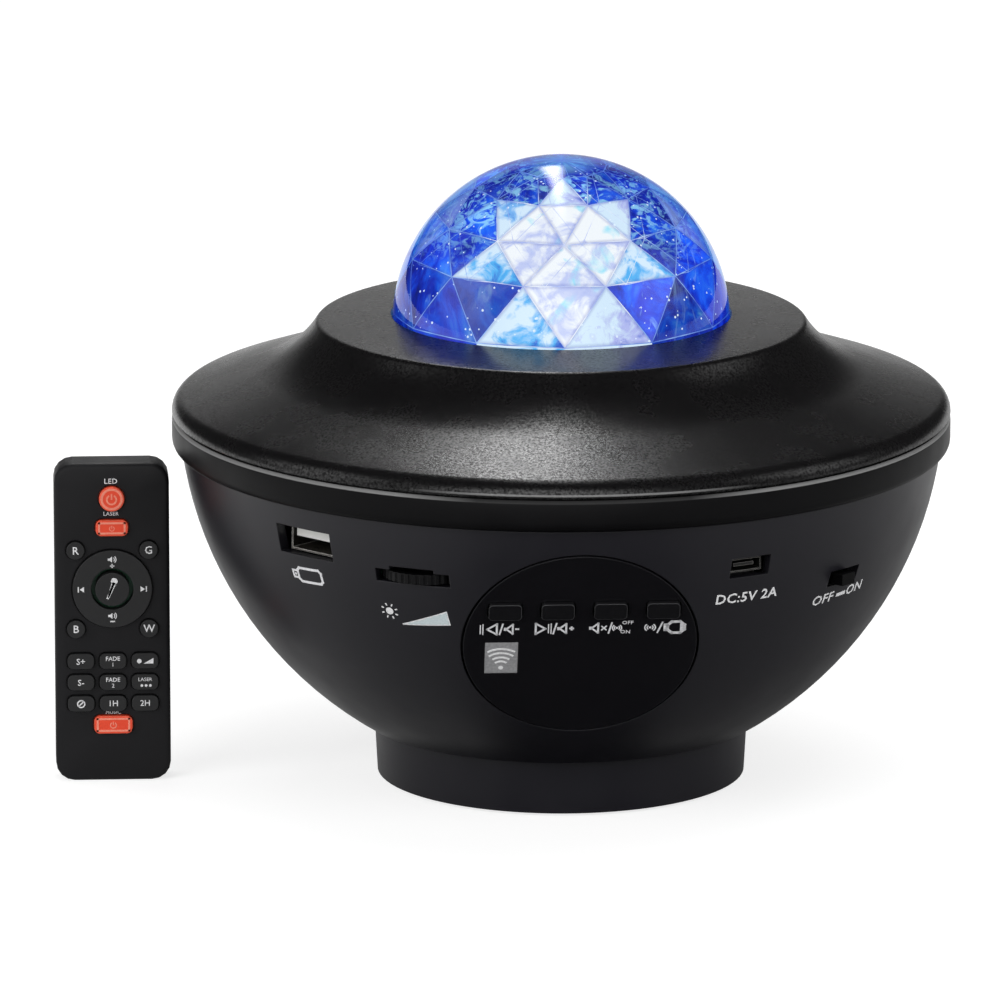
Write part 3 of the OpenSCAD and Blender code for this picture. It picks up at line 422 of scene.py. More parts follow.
def circuitBoard(name):
    material, tree, shader = newFinish(name)
    place = objectPlace(tree)
    tracks = addNode(tree, "ShaderNodeTexBrick", {
        "Scale": 260, "Mortar Size": 0.03, "Color1": (0.01, 0.075, 0.035, 1), "Color2": (0.012, 0.095, 0.045, 1),
        "Mortar": (0.03, 0.16, 0.08, 1), "Vector": place}).outputs
    cloud = noise(tree, place, 6, 3)
    tone = blended(tree, ranged(tree, cloud, 0, 0.5), tracks["Color"], (0.008, 0.05, 0.026))
    setInputs(tree, shader, {"Base Color": tone, "Roughness": ranged(tree, cloud, 0.28, 0.42),
                             "Normal": bumped(tree, tracks["Fac"], 0.03)})
    return material


def printInk(name, colour, faded):
    material, tree, shader = newFinish(name)
    mottle = noise(tree, objectPlace(tree), 0.35, 3, 0.6)
    tone = blended(tree, ranged(tree, mottle, 0, 1, 0.35, 0.7), colour, faded)
    setInputs(tree, shader, {"Base Color": tone, "Roughness": ranged(tree, mottle, 0.45, 0.6),
                             "Normal": bumped(tree, mottle, 0.01)})
    return material


metals = {  # colour, tarnish and roughness
    "tinnedSteel": ((0.78, 0.78, 0.77), (0.52, 0.52, 0.51), 0.24),
    "screwSteel": ((0.55, 0.55, 0.56), (0.33, 0.33, 0.34), 0.3),
    "laserBrass": ((0.8, 0.6, 0.24), (0.52, 0.38, 0.15), 0.26),
}
inks = {  # colour, and where it is worn
    "panelInk": ((0.8, 0.8, 0.82), (0.52, 0.52, 0.54)), "bowlInk": ((0.84, 0.84, 0.86), (0.62, 0.62, 0.64)),
    "whiteInk": ((0.86, 0.86, 0.87), (0.62, 0.62, 0.63)), "paleRedInk": ((0.92, 0.32, 0.22), (0.86, 0.22, 0.15)),
    "paleInk": ((0.6, 0.68, 0.7), (0.5, 0.58, 0.6)),
}
finish = {name: mouldedPlastic(name, look) for name, look in plastics.items()}
finish.update({name: brushedMetal(name, *metal) for name, metal in metals.items()})
finish["circuitBoard"] = circuitBoard("circuitBoard")
finish.update({name: printInk(name, *tones) for name, tones in inks.items()})

nodeFinish = {
    "bowlSatin": "bowl", "footSatin": "base_plate dome_retainer", "footRubber": "foot_pad", "rimSatin": "rim_ring",
    "grilleSatin": "speaker_grille", "coverTexture": "top_cover", "trayBlack": "lamp_tray", "ledMask": "led_board",
    "ledPhosphor": "led_chips", "clearAcrylic": "led_lenses ripple_disc", "laserBrass": "laser_module",
    "tinnedSteel": "ripple_motor switch_body button_board_parts speaker_frame coin_cell dimmer_body",
    "screwSteel": "fasteners", "circuitBoard": "main_board button_board remote_board", "chipEpoxy": "board_parts",
    "whiteNylon": "motor_pinion usb_tongue", "knobBlack": "switch_knob", "wheelBlack": "dimmer_wheel",
    "socketSteel": "dc_socket", "shellSteel": "usb_shell", "panelGloss": "control_panel",
    "buttonGloss": "previous_button next_button mute_button mode_button", "irWindow": "ir_window",
    "conePaper": "speaker_cone", "leadSleeve": "wiring",
    "remoteSatin": "remote_front_case remote_back_case battery_drawer", "keyRed": "led_key laser_key music_key",
    "keyRubber": "red_key green_key blue_key white_key ring_key voice_key speed_up_key fade_in_key star_key "
                 "speed_down_key fade_out_key breathe_key cancel_key one_hour_key two_hour_key",
}
for finishName, names in nodeFinish.items():
    for name in names.split():
        for place in nodes[name].material_slots:
            place.material = finish[finishName]
print("finishes set")

# large mouldings: copies with smooth shading over their small steps
smoothed = {"angle": 24, "remoteAngle": 30}  # degrees
smoothSlots = {"bowl": "housing_plastic", "top_cover": "cover_plastic", "rim_ring": "housing_plastic",
               "base_plate": "housing_plastic", "lamp_tray": "tray_plastic"}
remote = {  # mm
    "x": -95.5, "face": -4.9, "width": 24.4, "length": 69.2, "corner": 4, "chamfer": 0.9,
    "keyProud": 0.8, "voiceProud": 1.2,
}


def addedPiece(name, mesh, materials, body="projector"):
    piece = placed(name, mesh)
    for material in materials:
        mesh.materials.append(material)
    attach(piece, body)
    return piece


def closed(mesh, name):  # faces turned outwards, and kept as mesh data
    bmesh.ops.recalc_face_normals(mesh, faces=mesh.faces)
    data = bpy.data.meshes.new(name)
    mesh.to_mesh(data)
    mesh.free()
    return data


def plainCopy(name, angle, body="projector", change=None):
    source = nodes[name]
    mesh = bmesh.new()
    mesh.from_mesh(source.data)
    bmesh.ops.remove_doubles(mesh, verts=mesh.verts, dist=2e-6)
    if change:
        change(mesh)
    data = closed(mesh, name + "Smooth")
    if "custom_normal" in data.attributes:
        data.attributes.remove(data.attributes["custom_normal"])
    data.shade_smooth()
    data.set_sharp_from_angle(angle=math.radians(angle))
    piece = addedPiece(name + "Smooth", data, source.data.materials, body)
    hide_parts(name)


def roundedFace(mesh):  # breaks the outer edge of the remote control's face
    r = remote["corner"]
    halfWidth, halfLength = remote["width"] / 2 - r, remote["length"] / 2 - r

    def onOutline(vert):
        x, y, z = vert.co / mm
        dx = max(0, abs(x - remote["x"]) - halfWidth)
        dz = max(0, abs(z - remote["length"] / 2) - halfLength)
        return abs(y - remote["face"]) < 0.02 and math.hypot(dx, dz) > r - 0.05
    edges = [e for e in mesh.edges if all(onOutline(v) for v in e.verts)
             and len(e.link_faces) == 2 and e.calc_face_angle(0) > 0.8]
    bmesh.ops.bevel(mesh, geom=edges, offset=remote["chamfer"] * mm, segments=3, profile=0.5, affect="EDGES")


for name, slotName in smoothSlots.items():
    plainCopy(name, smoothed["angle"])
plainCopy("remote_front_case", smoothed["remoteAngle"], "remote", roundedFace)
print("large mouldings smoothed")

# dome: clear outside, lit facets moulded inside
dome = {
    "outer": 35.8, "corner": 33, "centreZ": 97.55,  # mm
    "rings": (3.5, 25, 41, 58, 74), "count": 11, "start": -92,  # degrees, as in the solid
    "flangeRadius": 39.5, "flangeLow": 95.25, "flangeHigh": 97.25,
    "glowTurns": (-92, 28, 148), "glowHeight": 35,  # where the lamps shine straight through
    "glowInner": 14, "glowOuter": 34, "backGlow": 0.45,  # the lamps behind shine softer
    "seed": 5,  # of the facets' tones
}
domeMiddle = Vector((0, 0, dome["centreZ"])) * mm


def onCircle(x, y, radius, angle):
    a = math.radians(angle)
    return x + radius * math.cos(a), y + radius * math.sin(a)


def onSphere(radius, azimuth, elevation):
    a, e = math.radians(azimuth), math.radians(elevation)
    return Vector((math.cos(e) * math.cos(a), math.cos(e) * math.sin(a), math.sin(e))) * radius * mm


def addFacets(mesh):  # the inner wall: its corners ring by ring, and the triangles between them
    count, rings = dome["count"], dome["rings"]
    rows = [[mesh.verts.new(domeMiddle + onSphere(dome["corner"], dome["start"] + 360 * (j + k % 2 / 2) / count, e))
             for j in range(count)] for k, e in enumerate(rings)]
    apex = mesh.verts.new(domeMiddle + Vector((0, 0, dome["corner"] * mm)))
    made = []
    for k in range(len(rings) - 1):
        low, high = rows[k], rows[k + 1]
        for j in range(count):
            i = (j + 1) % count
            if k % 2 == 0:
                made += [(high[j], low[i], low[j]), (high[j], high[i], low[i])]
            else:
                made += [(high[i], low[i], low[j]), (high[j], high[i], low[j])]
    made += [(apex, rows[-1][(j + 1) % count], rows[-1][j]) for j in range(count)]
    facets = [mesh.faces.new(corners) for corners in made]
    markFacets(mesh, facets, random.Random(dome["seed"]))
    return rows[0], facets


def glowOf(centre):  # 1 where a lamp shines straight through the facet, 0 in the deep blue
    found = []
    for n, turn in enumerate(dome["glowTurns"]):
        toLamp = onSphere(1, turn, dome["glowHeight"]).normalized()
        away = math.degrees(centre.angle(toLamp))
        share = (dome["glowOuter"] - away) / (dome["glowOuter"] - dome["glowInner"])
        found.append(max(0.0, min(1.0, share)) * (dome["backGlow"] if n else 1))
    return max(found)


def markFacets(mesh, faces, chance):  # glow, tone and gap from each edge, for the finish to read
    glow = mesh.loops.layers.float.new("facetGlow")
    tone = mesh.loops.layers.float_vector.new("facetTone")
    gap = mesh.loops.layers.float_vector.new("edgeGap")
    for face in faces:
        centre = face.calc_center_median() - domeMiddle
        lit = glowOf(centre)
        shift = Vector((chance.random(), chance.random(), chance.random()))
        corners = [loop.vert.co for loop in face.loops]
        for n, loop in enumerate(face.loops):
            loop[glow] = lit
            loop[tone] = shift
            a, b, c = corners[n], corners[(n + 1) % 3], corners[(n + 2) % 3]
            height = (b - a).cross(c - a).length / (c - b).length / mm
            away = [0.0, 0.0, 0.0]
            away[n] = height
            loop[gap] = away


blueGlow = {  # the blue facets' painted glow, its colours along the noise
    "stops": ((0.24, (0.004, 0.012, 0.22)), (0.4, (0.006, 0.03, 0.56)), (0.54, (0.01, 0.11, 0.88)),
              (0.68, (0.045, 0.26, 0.92)), (0.84, (0.22, 0.55, 1))),
    "violet": (0.075, 0.085, 0.82), "vein": (0.3, 0.55, 1), "fleck": (0.34, 0.74, 1), "step": (0.05, 0.08, 0.45),
    "flecksAbove": (0.112, 0.124), "crown": (0.4, 0.84, 1), "crownAbove": (0.1294, 0.1303),  # heights in m
}
litTones = {  # the lit facets' colours
    "white": (0.98, 1, 1), "haze": (0.5, 0.56, 0.9), "hollow": (0.12, 0.2, 0.7), "cyan": (0.26, 0.8, 0.97),
    "lavender": (0.56, 0.62, 0.92), "azure": (0.1, 0.48, 0.92), "dusk": (0.48, 0.52, 0.88), "ice": (0.72, 0.88, 1),
    "depth": (0.03, 0.1, 0.62),
}


def litFacets():
    material, tree, shader = newFinish("litFacets")
    where = onObject(tree)
    glow, tone, gap = (addNode(tree, "ShaderNodeAttribute", attribute_name=name).outputs
                       for name in ("facetGlow", "facetTone", "edgeGap"))
    place = vectorMath(tree, "MULTIPLY_ADD", tone["Vector"], (0.02, 0.02, 0.02), where)[0]
    tones, gaps = axes(tree, tone["Vector"]), axes(tree, gap["Vector"])
    height = axes(tree, where)["Z"]
    lean = ranged(tree, gaps["Y"], -0.5, 0.5, 0, 13)  # each facet shades from one corner to the opposite edge

    # painted deep blue glow, like a gas, with violet and azure in it
    swirl = combined(tree, "ADD", noise(tree, place, 9, 5, 0.6, 1.3), product(tree, lean, 0.22))
    deep = addNode(tree, "ShaderNodeValToRGB", {0: swirl})
    while len(deep.color_ramp.elements) < len(blueGlow["stops"]):
        deep.color_ramp.elements.new(0.5)
    for element, (spot, colour) in zip(deep.color_ramp.elements, blueGlow["stops"]):
        element.position = spot
        element.color = (*colour, 1)
    cloudy = blended(tree, ranged(tree, noise(tree, place, 19, 2, 0.5, 0.4), 0, 0.45, 0.5, 0.66),
                     deep.outputs[0], blueGlow["violet"])
    streak = noise(tree, objectPlace(tree, (1, 1, 0.22)), 3.4, 3, 0.6, 1.4)
    veined = blended(tree, ranged(tree, streak, 0, 0.6, 0.6, 0.74), cloudy, blueGlow["vein"])
    flecks = noise(tree, objectPlace(tree, (1, 1, 2.2)), 4.2, 4, 0.6, 1.8)
    high = ranged(tree, height, 0, 1, *blueGlow["flecksAbove"])
    flecked = blended(tree, product(tree, ranged(tree, flecks, 0, 0.9, 0.49, 0.58), high), veined, blueGlow["fleck"])
    dark = addNode(tree, "ShaderNodeVectorMath", {0: flecked, "Scale": ranged(tree, tones["X"], 0.55, 1.3, 0, 1)},
                   operation="SCALE").outputs[0]

    # white light with lavender and cyan in it
    haze = combined(tree, "ADD", noise(tree, place, 5, 4, 0.6, 0.8), product(tree, lean, 0.26))
    pale = blended(tree, ranged(tree, haze, 0, 1, 0.5, 0.64), litTones["white"], litTones["haze"])
    pale = blended(tree, ranged(tree, haze, 0, 0.8, 0.64, 0.72), pale, litTones["hollow"])
    spots = noise(tree, place, 6, 3, 0.5, 0.6)
    pale = blended(tree, ranged(tree, spots, 0, 0.85, 0.58, 0.68), pale, litTones["cyan"])
    tinted = product(tree, eased(tree, tones["X"], 0, 0.8, 0.6, 0.64), ranged(tree, haze, 0, 1, 0.4, 0.55))
    pale = blended(tree, tinted, pale, litTones["lavender"])
    half = blended(tree, ranged(tree, tones["Z"], 0, 1, 0.35, 0.6), litTones["azure"], litTones["dusk"])
    half = blended(tree, ranged(tree, haze, 0, 1, 0.42, 0.56), litTones["ice"], half)
    half = blended(tree, ranged(tree, haze, 0, 0.9, 0.58, 0.68), half, litTones["depth"])
    full = blended(tree, ranged(tree, glow["Fac"], 0, 1, 0.35, 0.6), half, pale)
    colour = blended(tree, ranged(tree, glow["Fac"], 0, 1, 0.02, 0.14), dark, full)
    # painted glow at the crown, high on the dome
    colour = blended(tree, ranged(tree, height, 0, 0.9, *blueGlow["crownAbove"]), colour, blueGlow["crown"])

    # painted shade: a thin dark band inside each edge
    nearest = combined(tree, "MINIMUM", *gaps)
    colour = blended(tree, ranged(tree, nearest, 0.34, 0, 0.15, 0.75), colour, blueGlow["step"])
    setInputs(tree, shader, {"Emission Color": colour, "Emission Strength": 1, "Base Color": (0.01, 0.015, 0.05, 1),
                             "Roughness": 0.35, "Specular IOR Level": 0.2})
    return material


def clearDome():  # a painted blue glow where it is seen edge on
    material, tree, shader = newFinish("clearDome")
    place = objectPlace(tree)
    ripple = noise(tree, place, 9, 2)
    smear = noise(tree, place, 16, 4, 0.6)
    facing = addNode(tree, "ShaderNodeLayerWeight").outputs["Facing"]
    tone = blended(tree, ranged(tree, facing, 0, 1, 0.36, 0.72), (0.88, 0.94, 1), (0.04, 0.2, 0.92))
    setInputs(tree, shader, {"Base Color": tone, "Roughness": ranged(tree, smear, 0.015, 0.05),
                             "Normal": bumped(tree, ripple, 0.02), "Transmission Weight": 1, "IOR": 1.46,
                             "Specular IOR Level": 0.2})
    return material


def glowing(name, colour, strength):
    material, tree, shader = newFinish(name)
    flicker = noise(tree, objectPlace(tree), 5, 2)
    setInputs(tree, shader, {"Emission Color": blended(tree, flicker, colour, tuple(0.8 * c for c in colour)),
                             "Emission Strength": strength, "Base Color": (*(0.3 * c for c in colour), 1)})
    return material


def buildDome():
    steps, levels = 96, 28
    mesh = bmesh.new()
    footRow, facets = addFacets(mesh)
    bottom = [mesh.verts.new((v.co.x, v.co.y, dome["flangeLow"] * mm)) for v in footRow]
    count = len(bottom)
    marks = [mesh.loops.layers.float["facetGlow"], mesh.loops.layers.float_vector["facetTone"]]
    gap = mesh.loops.layers.float_vector["edgeGap"]
    for j in range(count):  # the wall under each facet shines as the facet does
        i = (j + 1) % count
        wall = mesh.faces.new((footRow[j], footRow[i], bottom[i], bottom[j]))
        for loop in wall.loops:
            loop[gap] = (3, 3, 3)  # far from any edge
            for mark in marks:
                loop[mark] = facets[2 * j].loops[0][mark]
    # outer skin, ring by ring from the flange's lower edge to the crown
    profile = [(dome["flangeRadius"], dome["flangeLow"]), (dome["flangeRadius"], dome["flangeHigh"]),
               (dome["outer"], dome["flangeHigh"])]
    profile += [onCircle(0, dome["centreZ"], dome["outer"], 90 * i / levels) for i in range(levels)]
    rows = [[mesh.verts.new((*onCircle(0, 0, r * mm, 360 * i / steps), z * mm)) for i in range(steps)]
            for r, z in profile]
    crown = mesh.verts.new((0, 0, (dome["centreZ"] + dome["outer"]) * mm))
    outer = []
    for a, b in zip(rows, rows[1:]):
        outer += [mesh.faces.new((a[i], a[(i + 1) % steps], b[(i + 1) % steps], b[i])) for i in range(steps)]
    outer += [mesh.faces.new((rows[-1][i], rows[-1][(i + 1) % steps], crown)) for i in range(steps)]
    for face in outer:
        face.material_index = 1
        face.smooth = True
    # flat underside between the flange's edge and the facets' foot
    edges = [e for e in mesh.edges if e.is_boundary]
    ring = bmesh.ops.triangle_fill(mesh, edges=edges, use_beauty=True)
    for item in ring["geom"]:
        if isinstance(item, bmesh.types.BMFace):
            item.material_index = 1
            item.smooth = False
    piece = addedPiece("crystalDome", closed(mesh, "crystalDome"), [litFacets(), clearDome()])
    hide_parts("crystal_dome")


# geometry nodes helpers
def newTree(name, values):  # each value becomes an input
    tree = bpy.data.node_groups.new(name, "GeometryNodeTree")
    tree.interface.new_socket("Geometry", in_out="INPUT", socket_type="NodeSocketGeometry")
    for label, value in values.items():
        kind = "NodeSocketInt" if isinstance(value, int) else "NodeSocketFloat"
        tree.interface.new_socket(label, in_out="INPUT", socket_type=kind)
    tree.interface.new_socket("Geometry", in_out="OUTPUT", socket_type="NodeSocketGeometry")
    return tree, addNode(tree, "NodeGroupInput").outputs, addNode(tree, "NodeGroupOutput")


def grown(name, carrier, tree, values, body="projector"):  # runs a tree on a mesh and keeps the plain result
    holder = placed(name + "Seed", carrier)
    modifier = holder.modifiers.new(name, "NODES")
    modifier.node_group = tree
    for item in tree.interface.items_tree:
        if item.in_out == "INPUT" and item.name in values:
            modifier[item.identifier] = values[item.name]
    bpy.context.view_layer.update()
    graph = bpy.context.evaluated_depsgraph_get()
    data = bpy.data.meshes.new_from_object(holder.evaluated_get(graph))
    data.name = name
    made = [material for material in data.materials if material]
    data.materials.clear()
    bpy.data.objects.remove(holder)
    return addedPiece(name, data, made, body)


def facetCarrier(turn=0, above=0):  # facets alone, as a base for the ridges and stars
    mesh = bmesh.new()
    addFacets(mesh)
    if above:
        low = [face for face in mesh.faces if face.calc_center_median().z < above * mm]
        bmesh.ops.delete(mesh, geom=low, context="FACES")
        bmesh.ops.rotate(mesh, cent=(0, 0, 0), matrix=Matrix.Rotation(math.radians(turn), 3, "Z"), verts=mesh.verts)
    return closed(mesh, "facetCarrier")


ridges = {"Thickness": 0.1 * mm, "Sides": 5}
web = {"Thickness": 0.055 * mm, "Sides": 4}  # a finer net just over the facets, high on the dome
netTurn, netAbove = 8.5, 114  # its turn in degrees, and the height in mm that it starts at


def ridgeLight():  # white by the lit facets, dim blue away from them
    material, tree, shader = newFinish("ridgeLight")
    off = vectorMath(tree, "SUBTRACT", onObject(tree), domeMiddle)[0]
    away = vectorMath(tree, "NORMALIZE", off)[0]
    near = [vectorMath(tree, "DOT_PRODUCT", away, onSphere(1, turn, dome["glowHeight"]).normalized())["Value"]
            for turn in dome["glowTurns"]]
    patchy = noise(tree, objectPlace(tree), 5, 2)
    dim = blended(tree, ranged(tree, patchy, 0, 1), (0.03, 0.09, 0.55), (0.38, 0.62, 1))
    lit = blended(tree, ranged(tree, patchy, 0, 1, 0.4, 0.6), (0.42, 0.5, 0.85), (0.95, 0.98, 1))
    tone = blended(tree, ranged(tree, combined(tree, "MAXIMUM", *near), 0, 1, 0.8, 0.88), dim, lit)
    setInputs(tree, shader, {"Emission Color": tone, "Emission Strength": 0.9, "Base Color": (0.05, 0.08, 0.2, 1)})
    return material


def finishTree(tree, end, geometry, material):
    real = addNode(tree, "GeometryNodeRealizeInstances", {0: geometry}).outputs[0]
    paint = addNode(tree, "GeometryNodeSetMaterial", {"Geometry": real, "Material": material}).outputs[0]
    setInputs(tree, end, {"Geometry": paint})


def ridgeTree():
    tree, start, end = newTree("facetRidges", ridges)
    lines = addNode(tree, "GeometryNodeMeshToCurve", {"Mesh": start["Geometry"]}).outputs[0]
    ring = addNode(tree, "GeometryNodeCurvePrimitiveCircle", {"Radius": start["Thickness"],
                                                              "Resolution": start["Sides"]}).outputs[0]
    tube = addNode(tree, "GeometryNodeCurveToMesh", {"Curve": lines, "Profile Curve": ring, "Fill Caps": True})
    finishTree(tree, end, tube.outputs[0], ridgeLight())
    return tree


stars = {"Density": 92000.0, "Size": 0.22 * mm, "Seed": 11}
starLook = {"litBelow": 0.3, "smallest": 0.35, "largest": 1.35, "colour": (0.8, 0.9, 1), "strength": 1}


def starTree():
    tree, start, end = newTree("starSpecks", stars)
    lit = addNode(tree, "GeometryNodeInputNamedAttribute", {"Name": "facetGlow"}, data_type="FLOAT")
    unlit = combined(tree, "LESS_THAN", lit.outputs["Attribute"], starLook["litBelow"])
    share = product(tree, unlit, start["Density"])
    scatter = addNode(tree, "GeometryNodeDistributePointsOnFaces",
                      {"Mesh": start["Geometry"], "Seed": start["Seed"], "Density": share}).outputs["Points"]
    speck = addNode(tree, "GeometryNodeMeshIcoSphere", {"Radius": start["Size"], "Subdivisions": 1}).outputs["Mesh"]
    grow = addNode(tree, "FunctionNodeRandomValue", {2: starLook["smallest"], 3: starLook["largest"],
                                                     "Seed": start["Seed"]}, data_type="FLOAT").outputs[1]
    spread = addNode(tree, "GeometryNodeInstanceOnPoints", {"Points": scatter, "Instance": speck, "Scale": grow})
    finishTree(tree, end, spread.outputs[0], glowing("starLight", starLook["colour"], starLook["strength"]))
    return tree


buildDome()
grown("facetRidges", facetCarrier(), ridgeTree(), ridges)
grown("facetWeb", facetCarrier(netTurn, netAbove), ridgeTree(), web)
grown("starSpecks", facetCarrier(), starTree(), stars)
print("dome built")

# printed marks: flat shapes in mm, laid on the surface that carries them
ink = {"lift": 0.045, "sink": 0.03, "finest": 2}  # mm above and below the surface, and the longest edge


def strip(points, width, closed=False):  # a band along a line, as a ring of quads
    shapes = []
    pairs = list(zip(points, points[1:])) + ([(points[-1], points[0])] if closed else [])
    for a, b in pairs:
        a, b = Vector(a), Vector(b)
        along = (b - a).normalized()
        side = Vector((-along.y, along.x)) * width / 2
        end = along * width / 2
        shapes.append([a - end - side, b + end - side, b + end + side, a - end + side])
    return shapes


def bar(x, y, toX, toY, width):
    return strip([(x, y), (toX, toY)], width)


def upright(x, y, height, width):
    return bar(x, y - height / 2, x, y + height / 2, width)


def arcBand(x, y, radius, width, start, stop, steps=14):
    angles = [start + (stop - start) * i / steps for i in range(steps + 1)]
    return [[onCircle(x, y, radius + width / 2, a) for a in angles]
            + [onCircle(x, y, radius - width / 2, a) for a in reversed(angles)]]


def ringBand(x, y, radius, width):
    return arcBand(x, y, radius, width, 0, 180) + arcBand(x, y, radius, width, 180, 360)


def spot(x, y, radius, steps=16):
    return [[onCircle(x, y, radius, 360 * i / steps) for i in range(steps)]]


def outline(points, width):
    return strip(points, width, closed=True)


def boxMark(x, y, width, height, line):
    w, h = width / 2, height / 2
    return outline([(x - w, y - h), (x + w, y - h), (x + w, y + h), (x - w, y + h)], line)


def lettering(words, height, x=0, y=0, spacing=1, squeeze=1, bold=0):
    curve = bpy.data.curves.new("words", "FONT")
    curve.body = words
    curve.align_x = curve.align_y = "CENTER"
    curve.size = height / 0.73
    curve.space_character = spacing
    curve.offset = bold
    curve.resolution_u = 2
    holder = placed("words", curve)
    bpy.context.view_layer.update()
    data = bpy.data.meshes.new_from_object(holder.evaluated_get(bpy.context.evaluated_depsgraph_get()))
    shapes = [[(x + data.vertices[i].co.x * squeeze, y + data.vertices[i].co.y) for i in face.vertices]
              for face in data.polygons]
    bpy.data.objects.remove(holder)
    bpy.data.meshes.remove(data)
    return shapes


def printed(name, shapes, carrier, body="projector", inkName="whiteInk"):
    mesh = bmesh.new()
    for shape in shapes:
        mesh.faces.new([mesh.verts.new((*place, 0)) for place in shape])
    bmesh.ops.remove_doubles(mesh, verts=mesh.verts, dist=1e-4)
    bmesh.ops.recalc_face_normals(mesh, faces=mesh.faces)
    bmesh.ops.triangulate(mesh, faces=mesh.faces)
    for _ in range(4):  # long edges are split, so that the ink follows a round surface
        long = [e for e in mesh.edges if e.calc_length() > ink["finest"]]
        if not long:
            break
        bmesh.ops.subdivide_edges(mesh, edges=long, cuts=1)
        bmesh.ops.triangulate(mesh, faces=mesh.faces)
    for face in mesh.faces:
        if face.normal.z < 0:
            face.normal_flip()
    top = list(mesh.faces)
    extruded = bmesh.ops.extrude_face_region(mesh, geom=top, use_keep_orig=True)
    lifted = {v for v in extruded["geom"] if isinstance(v, bmesh.types.BMVert)}
    for v in mesh.verts:
        v.co = carrier(v.co.x, v.co.y, ink["lift"] if v in lifted else -ink["sink"])
    return addedPiece(name, closed(mesh, name), [finish[inkName]], body)


bowl = {"radius": 81.1, "centreZ": 81.6}
panel = {"face": 77.34, "tilt": 28.5}


def onBowl(azimuth, height, spin=0):  # flat marks on the bowl, at a turn from the front and a height
    a = math.radians(azimuth)
    middle = Vector((0, 0, bowl["centreZ"]))
    radius = math.sqrt(bowl["radius"] ** 2 - (bowl["centreZ"] - height) ** 2)
    spotOn = Vector((radius * math.sin(a), -radius * math.cos(a), height))
    outwards = (spotOn - middle).normalized()
    right = Vector((math.cos(a), math.sin(a), 0))
    up = outwards.cross(right)
    turn = math.radians(spin)
    right, up = right * math.cos(turn) + up * math.sin(turn), up * math.cos(turn) - right * math.sin(turn)

    def carrier(x, y, lift):
        flat = spotOn + right * x + up * y - middle
        return (middle + flat.normalized() * (bowl["radius"] + lift)) * mm
    return carrier


def onPanel(x, y, lift):
    tip = math.radians(90 + panel["tilt"])
    upwards = Vector((0, math.cos(tip), math.sin(tip)))
    outwards = Vector((0, -math.sin(tip), math.cos(tip)))
    return (Vector((x, 0, bowl["centreZ"])) + upwards * y + outwards * (panel["face"] + lift)) * mm


def onRemote(proud=0):
    def carrier(x, y, lift):
        return Vector((remote["x"] + x, remote["face"] - proud - lift, y)) * mm
    return carrier


# control panel icons, each drawn round its own centre
stroke = 0.42


def arrow(x, y, width, height, pointing):  # to the right with 1, to the left with -1
    back = x - pointing * width / 2
    return [(back, y - height / 2), (x + pointing * width / 2, y), (back, y + height / 2)]


def speakerIcon(x, y):
    body = [[(x - 1.05, y - 0.42), (x - 0.55, y - 0.42), (x - 0.55, y + 0.42), (x - 1.05, y + 0.42)]]
    return body + outline([(x - 0.55, y), (x + 0.8, y + 1.3), (x + 0.8, y - 1.3)], 0.4)


def slashMark(x, y, lean=0.32):
    return bar(x - lean, y - 1.4, x + lean, y + 1.4, 0.34)


def barPair(x, y, height):
    return upright(x - 0.27, y, height, 0.24) + upright(x + 0.27, y, height + 0.4, 0.24)


def waveMark(x, y, sizes=(0.62, 1.1)):  # a radio sign: a dot with two pairs of waves
    shapes = spot(x, y, 0.26)
    for radius in sizes:
        shapes += arcBand(x, y, radius, 0.26, -52, 52, 8) + arcBand(x, y, radius, 0.26, 128, 232, 8)
    return shapes


def stickMark(x, y, width, height, plug, line, cut=0.6):  # a memory stick in outline, its plug to the left
    w, h, c = width / 2, height / 2, cut
    body = [(x - w, y - h + c), (x - w + c, y - h), (x + w - c, y - h), (x + w, y - h + c),
            (x + w, y + h - c), (x + w - c, y + h), (x - w + c, y + h), (x - w, y + h - c)]
    return outline(body, line) + boxMark(x - w - plug / 2, y, plug, h, line * 0.85)


def panelMarks():
    y = 4.4
    back = barPair(-20.45, y, 2.3) + outline(arrow(-18.3, y, 2, 2.9, -1), stroke) + slashMark(-16.4, y) \
        + speakerIcon(-14.8, y) + bar(-13.3, y, -12.9, y, stroke)
    forward = outline(arrow(-8.25, y, 2, 2.9, 1), stroke) + barPair(-6.35, y, 2.3) + slashMark(-5.3, y) \
        + speakerIcon(-3.75, y) + bar(-2.1, y, -1.55, y, stroke) + upright(-1.83, y, 0.6, stroke)
    quiet = speakerIcon(2.85, y) + bar(4.4, y - 0.5, 5.3, y + 0.5, 0.3) \
        + bar(4.4, y + 0.5, 5.3, y - 0.5, 0.3) + slashMark(6.15, y) + waveMark(7.55, y, (0.55, 0.95)) \
        + lettering("OFF", 0.95, 9.75, y + 1.4, 1.05, bold=0.01) \
        + lettering("ON", 0.95, 9.3, y - 1.15, 1.05, bold=0.01)
    mode = waveMark(14.4, y) + slashMark(16.45, y, 0.5) + stickMark(19.75, y, 3.5, 3.1, 0.55, 0.62, 0.9) \
        + [[(20.6, y - 1.3), (21.75, y), (20.6, y + 1.3)]]
    printed("panelMarks", back + forward + quiet + mode, onPanel, inkName="panelInk")
    arcs = spot(-16.25, -6.4, 0.52)
    for radius, spread in ((1.77, 42), (2.9, 37), (4.1, 38), (5.25, 33)):
        arcs += arcBand(-16.25, -6.4, radius, 0.46, 90 - spread, 90 + spread, 12)
    printed("windowMarks", arcs, onPanel)


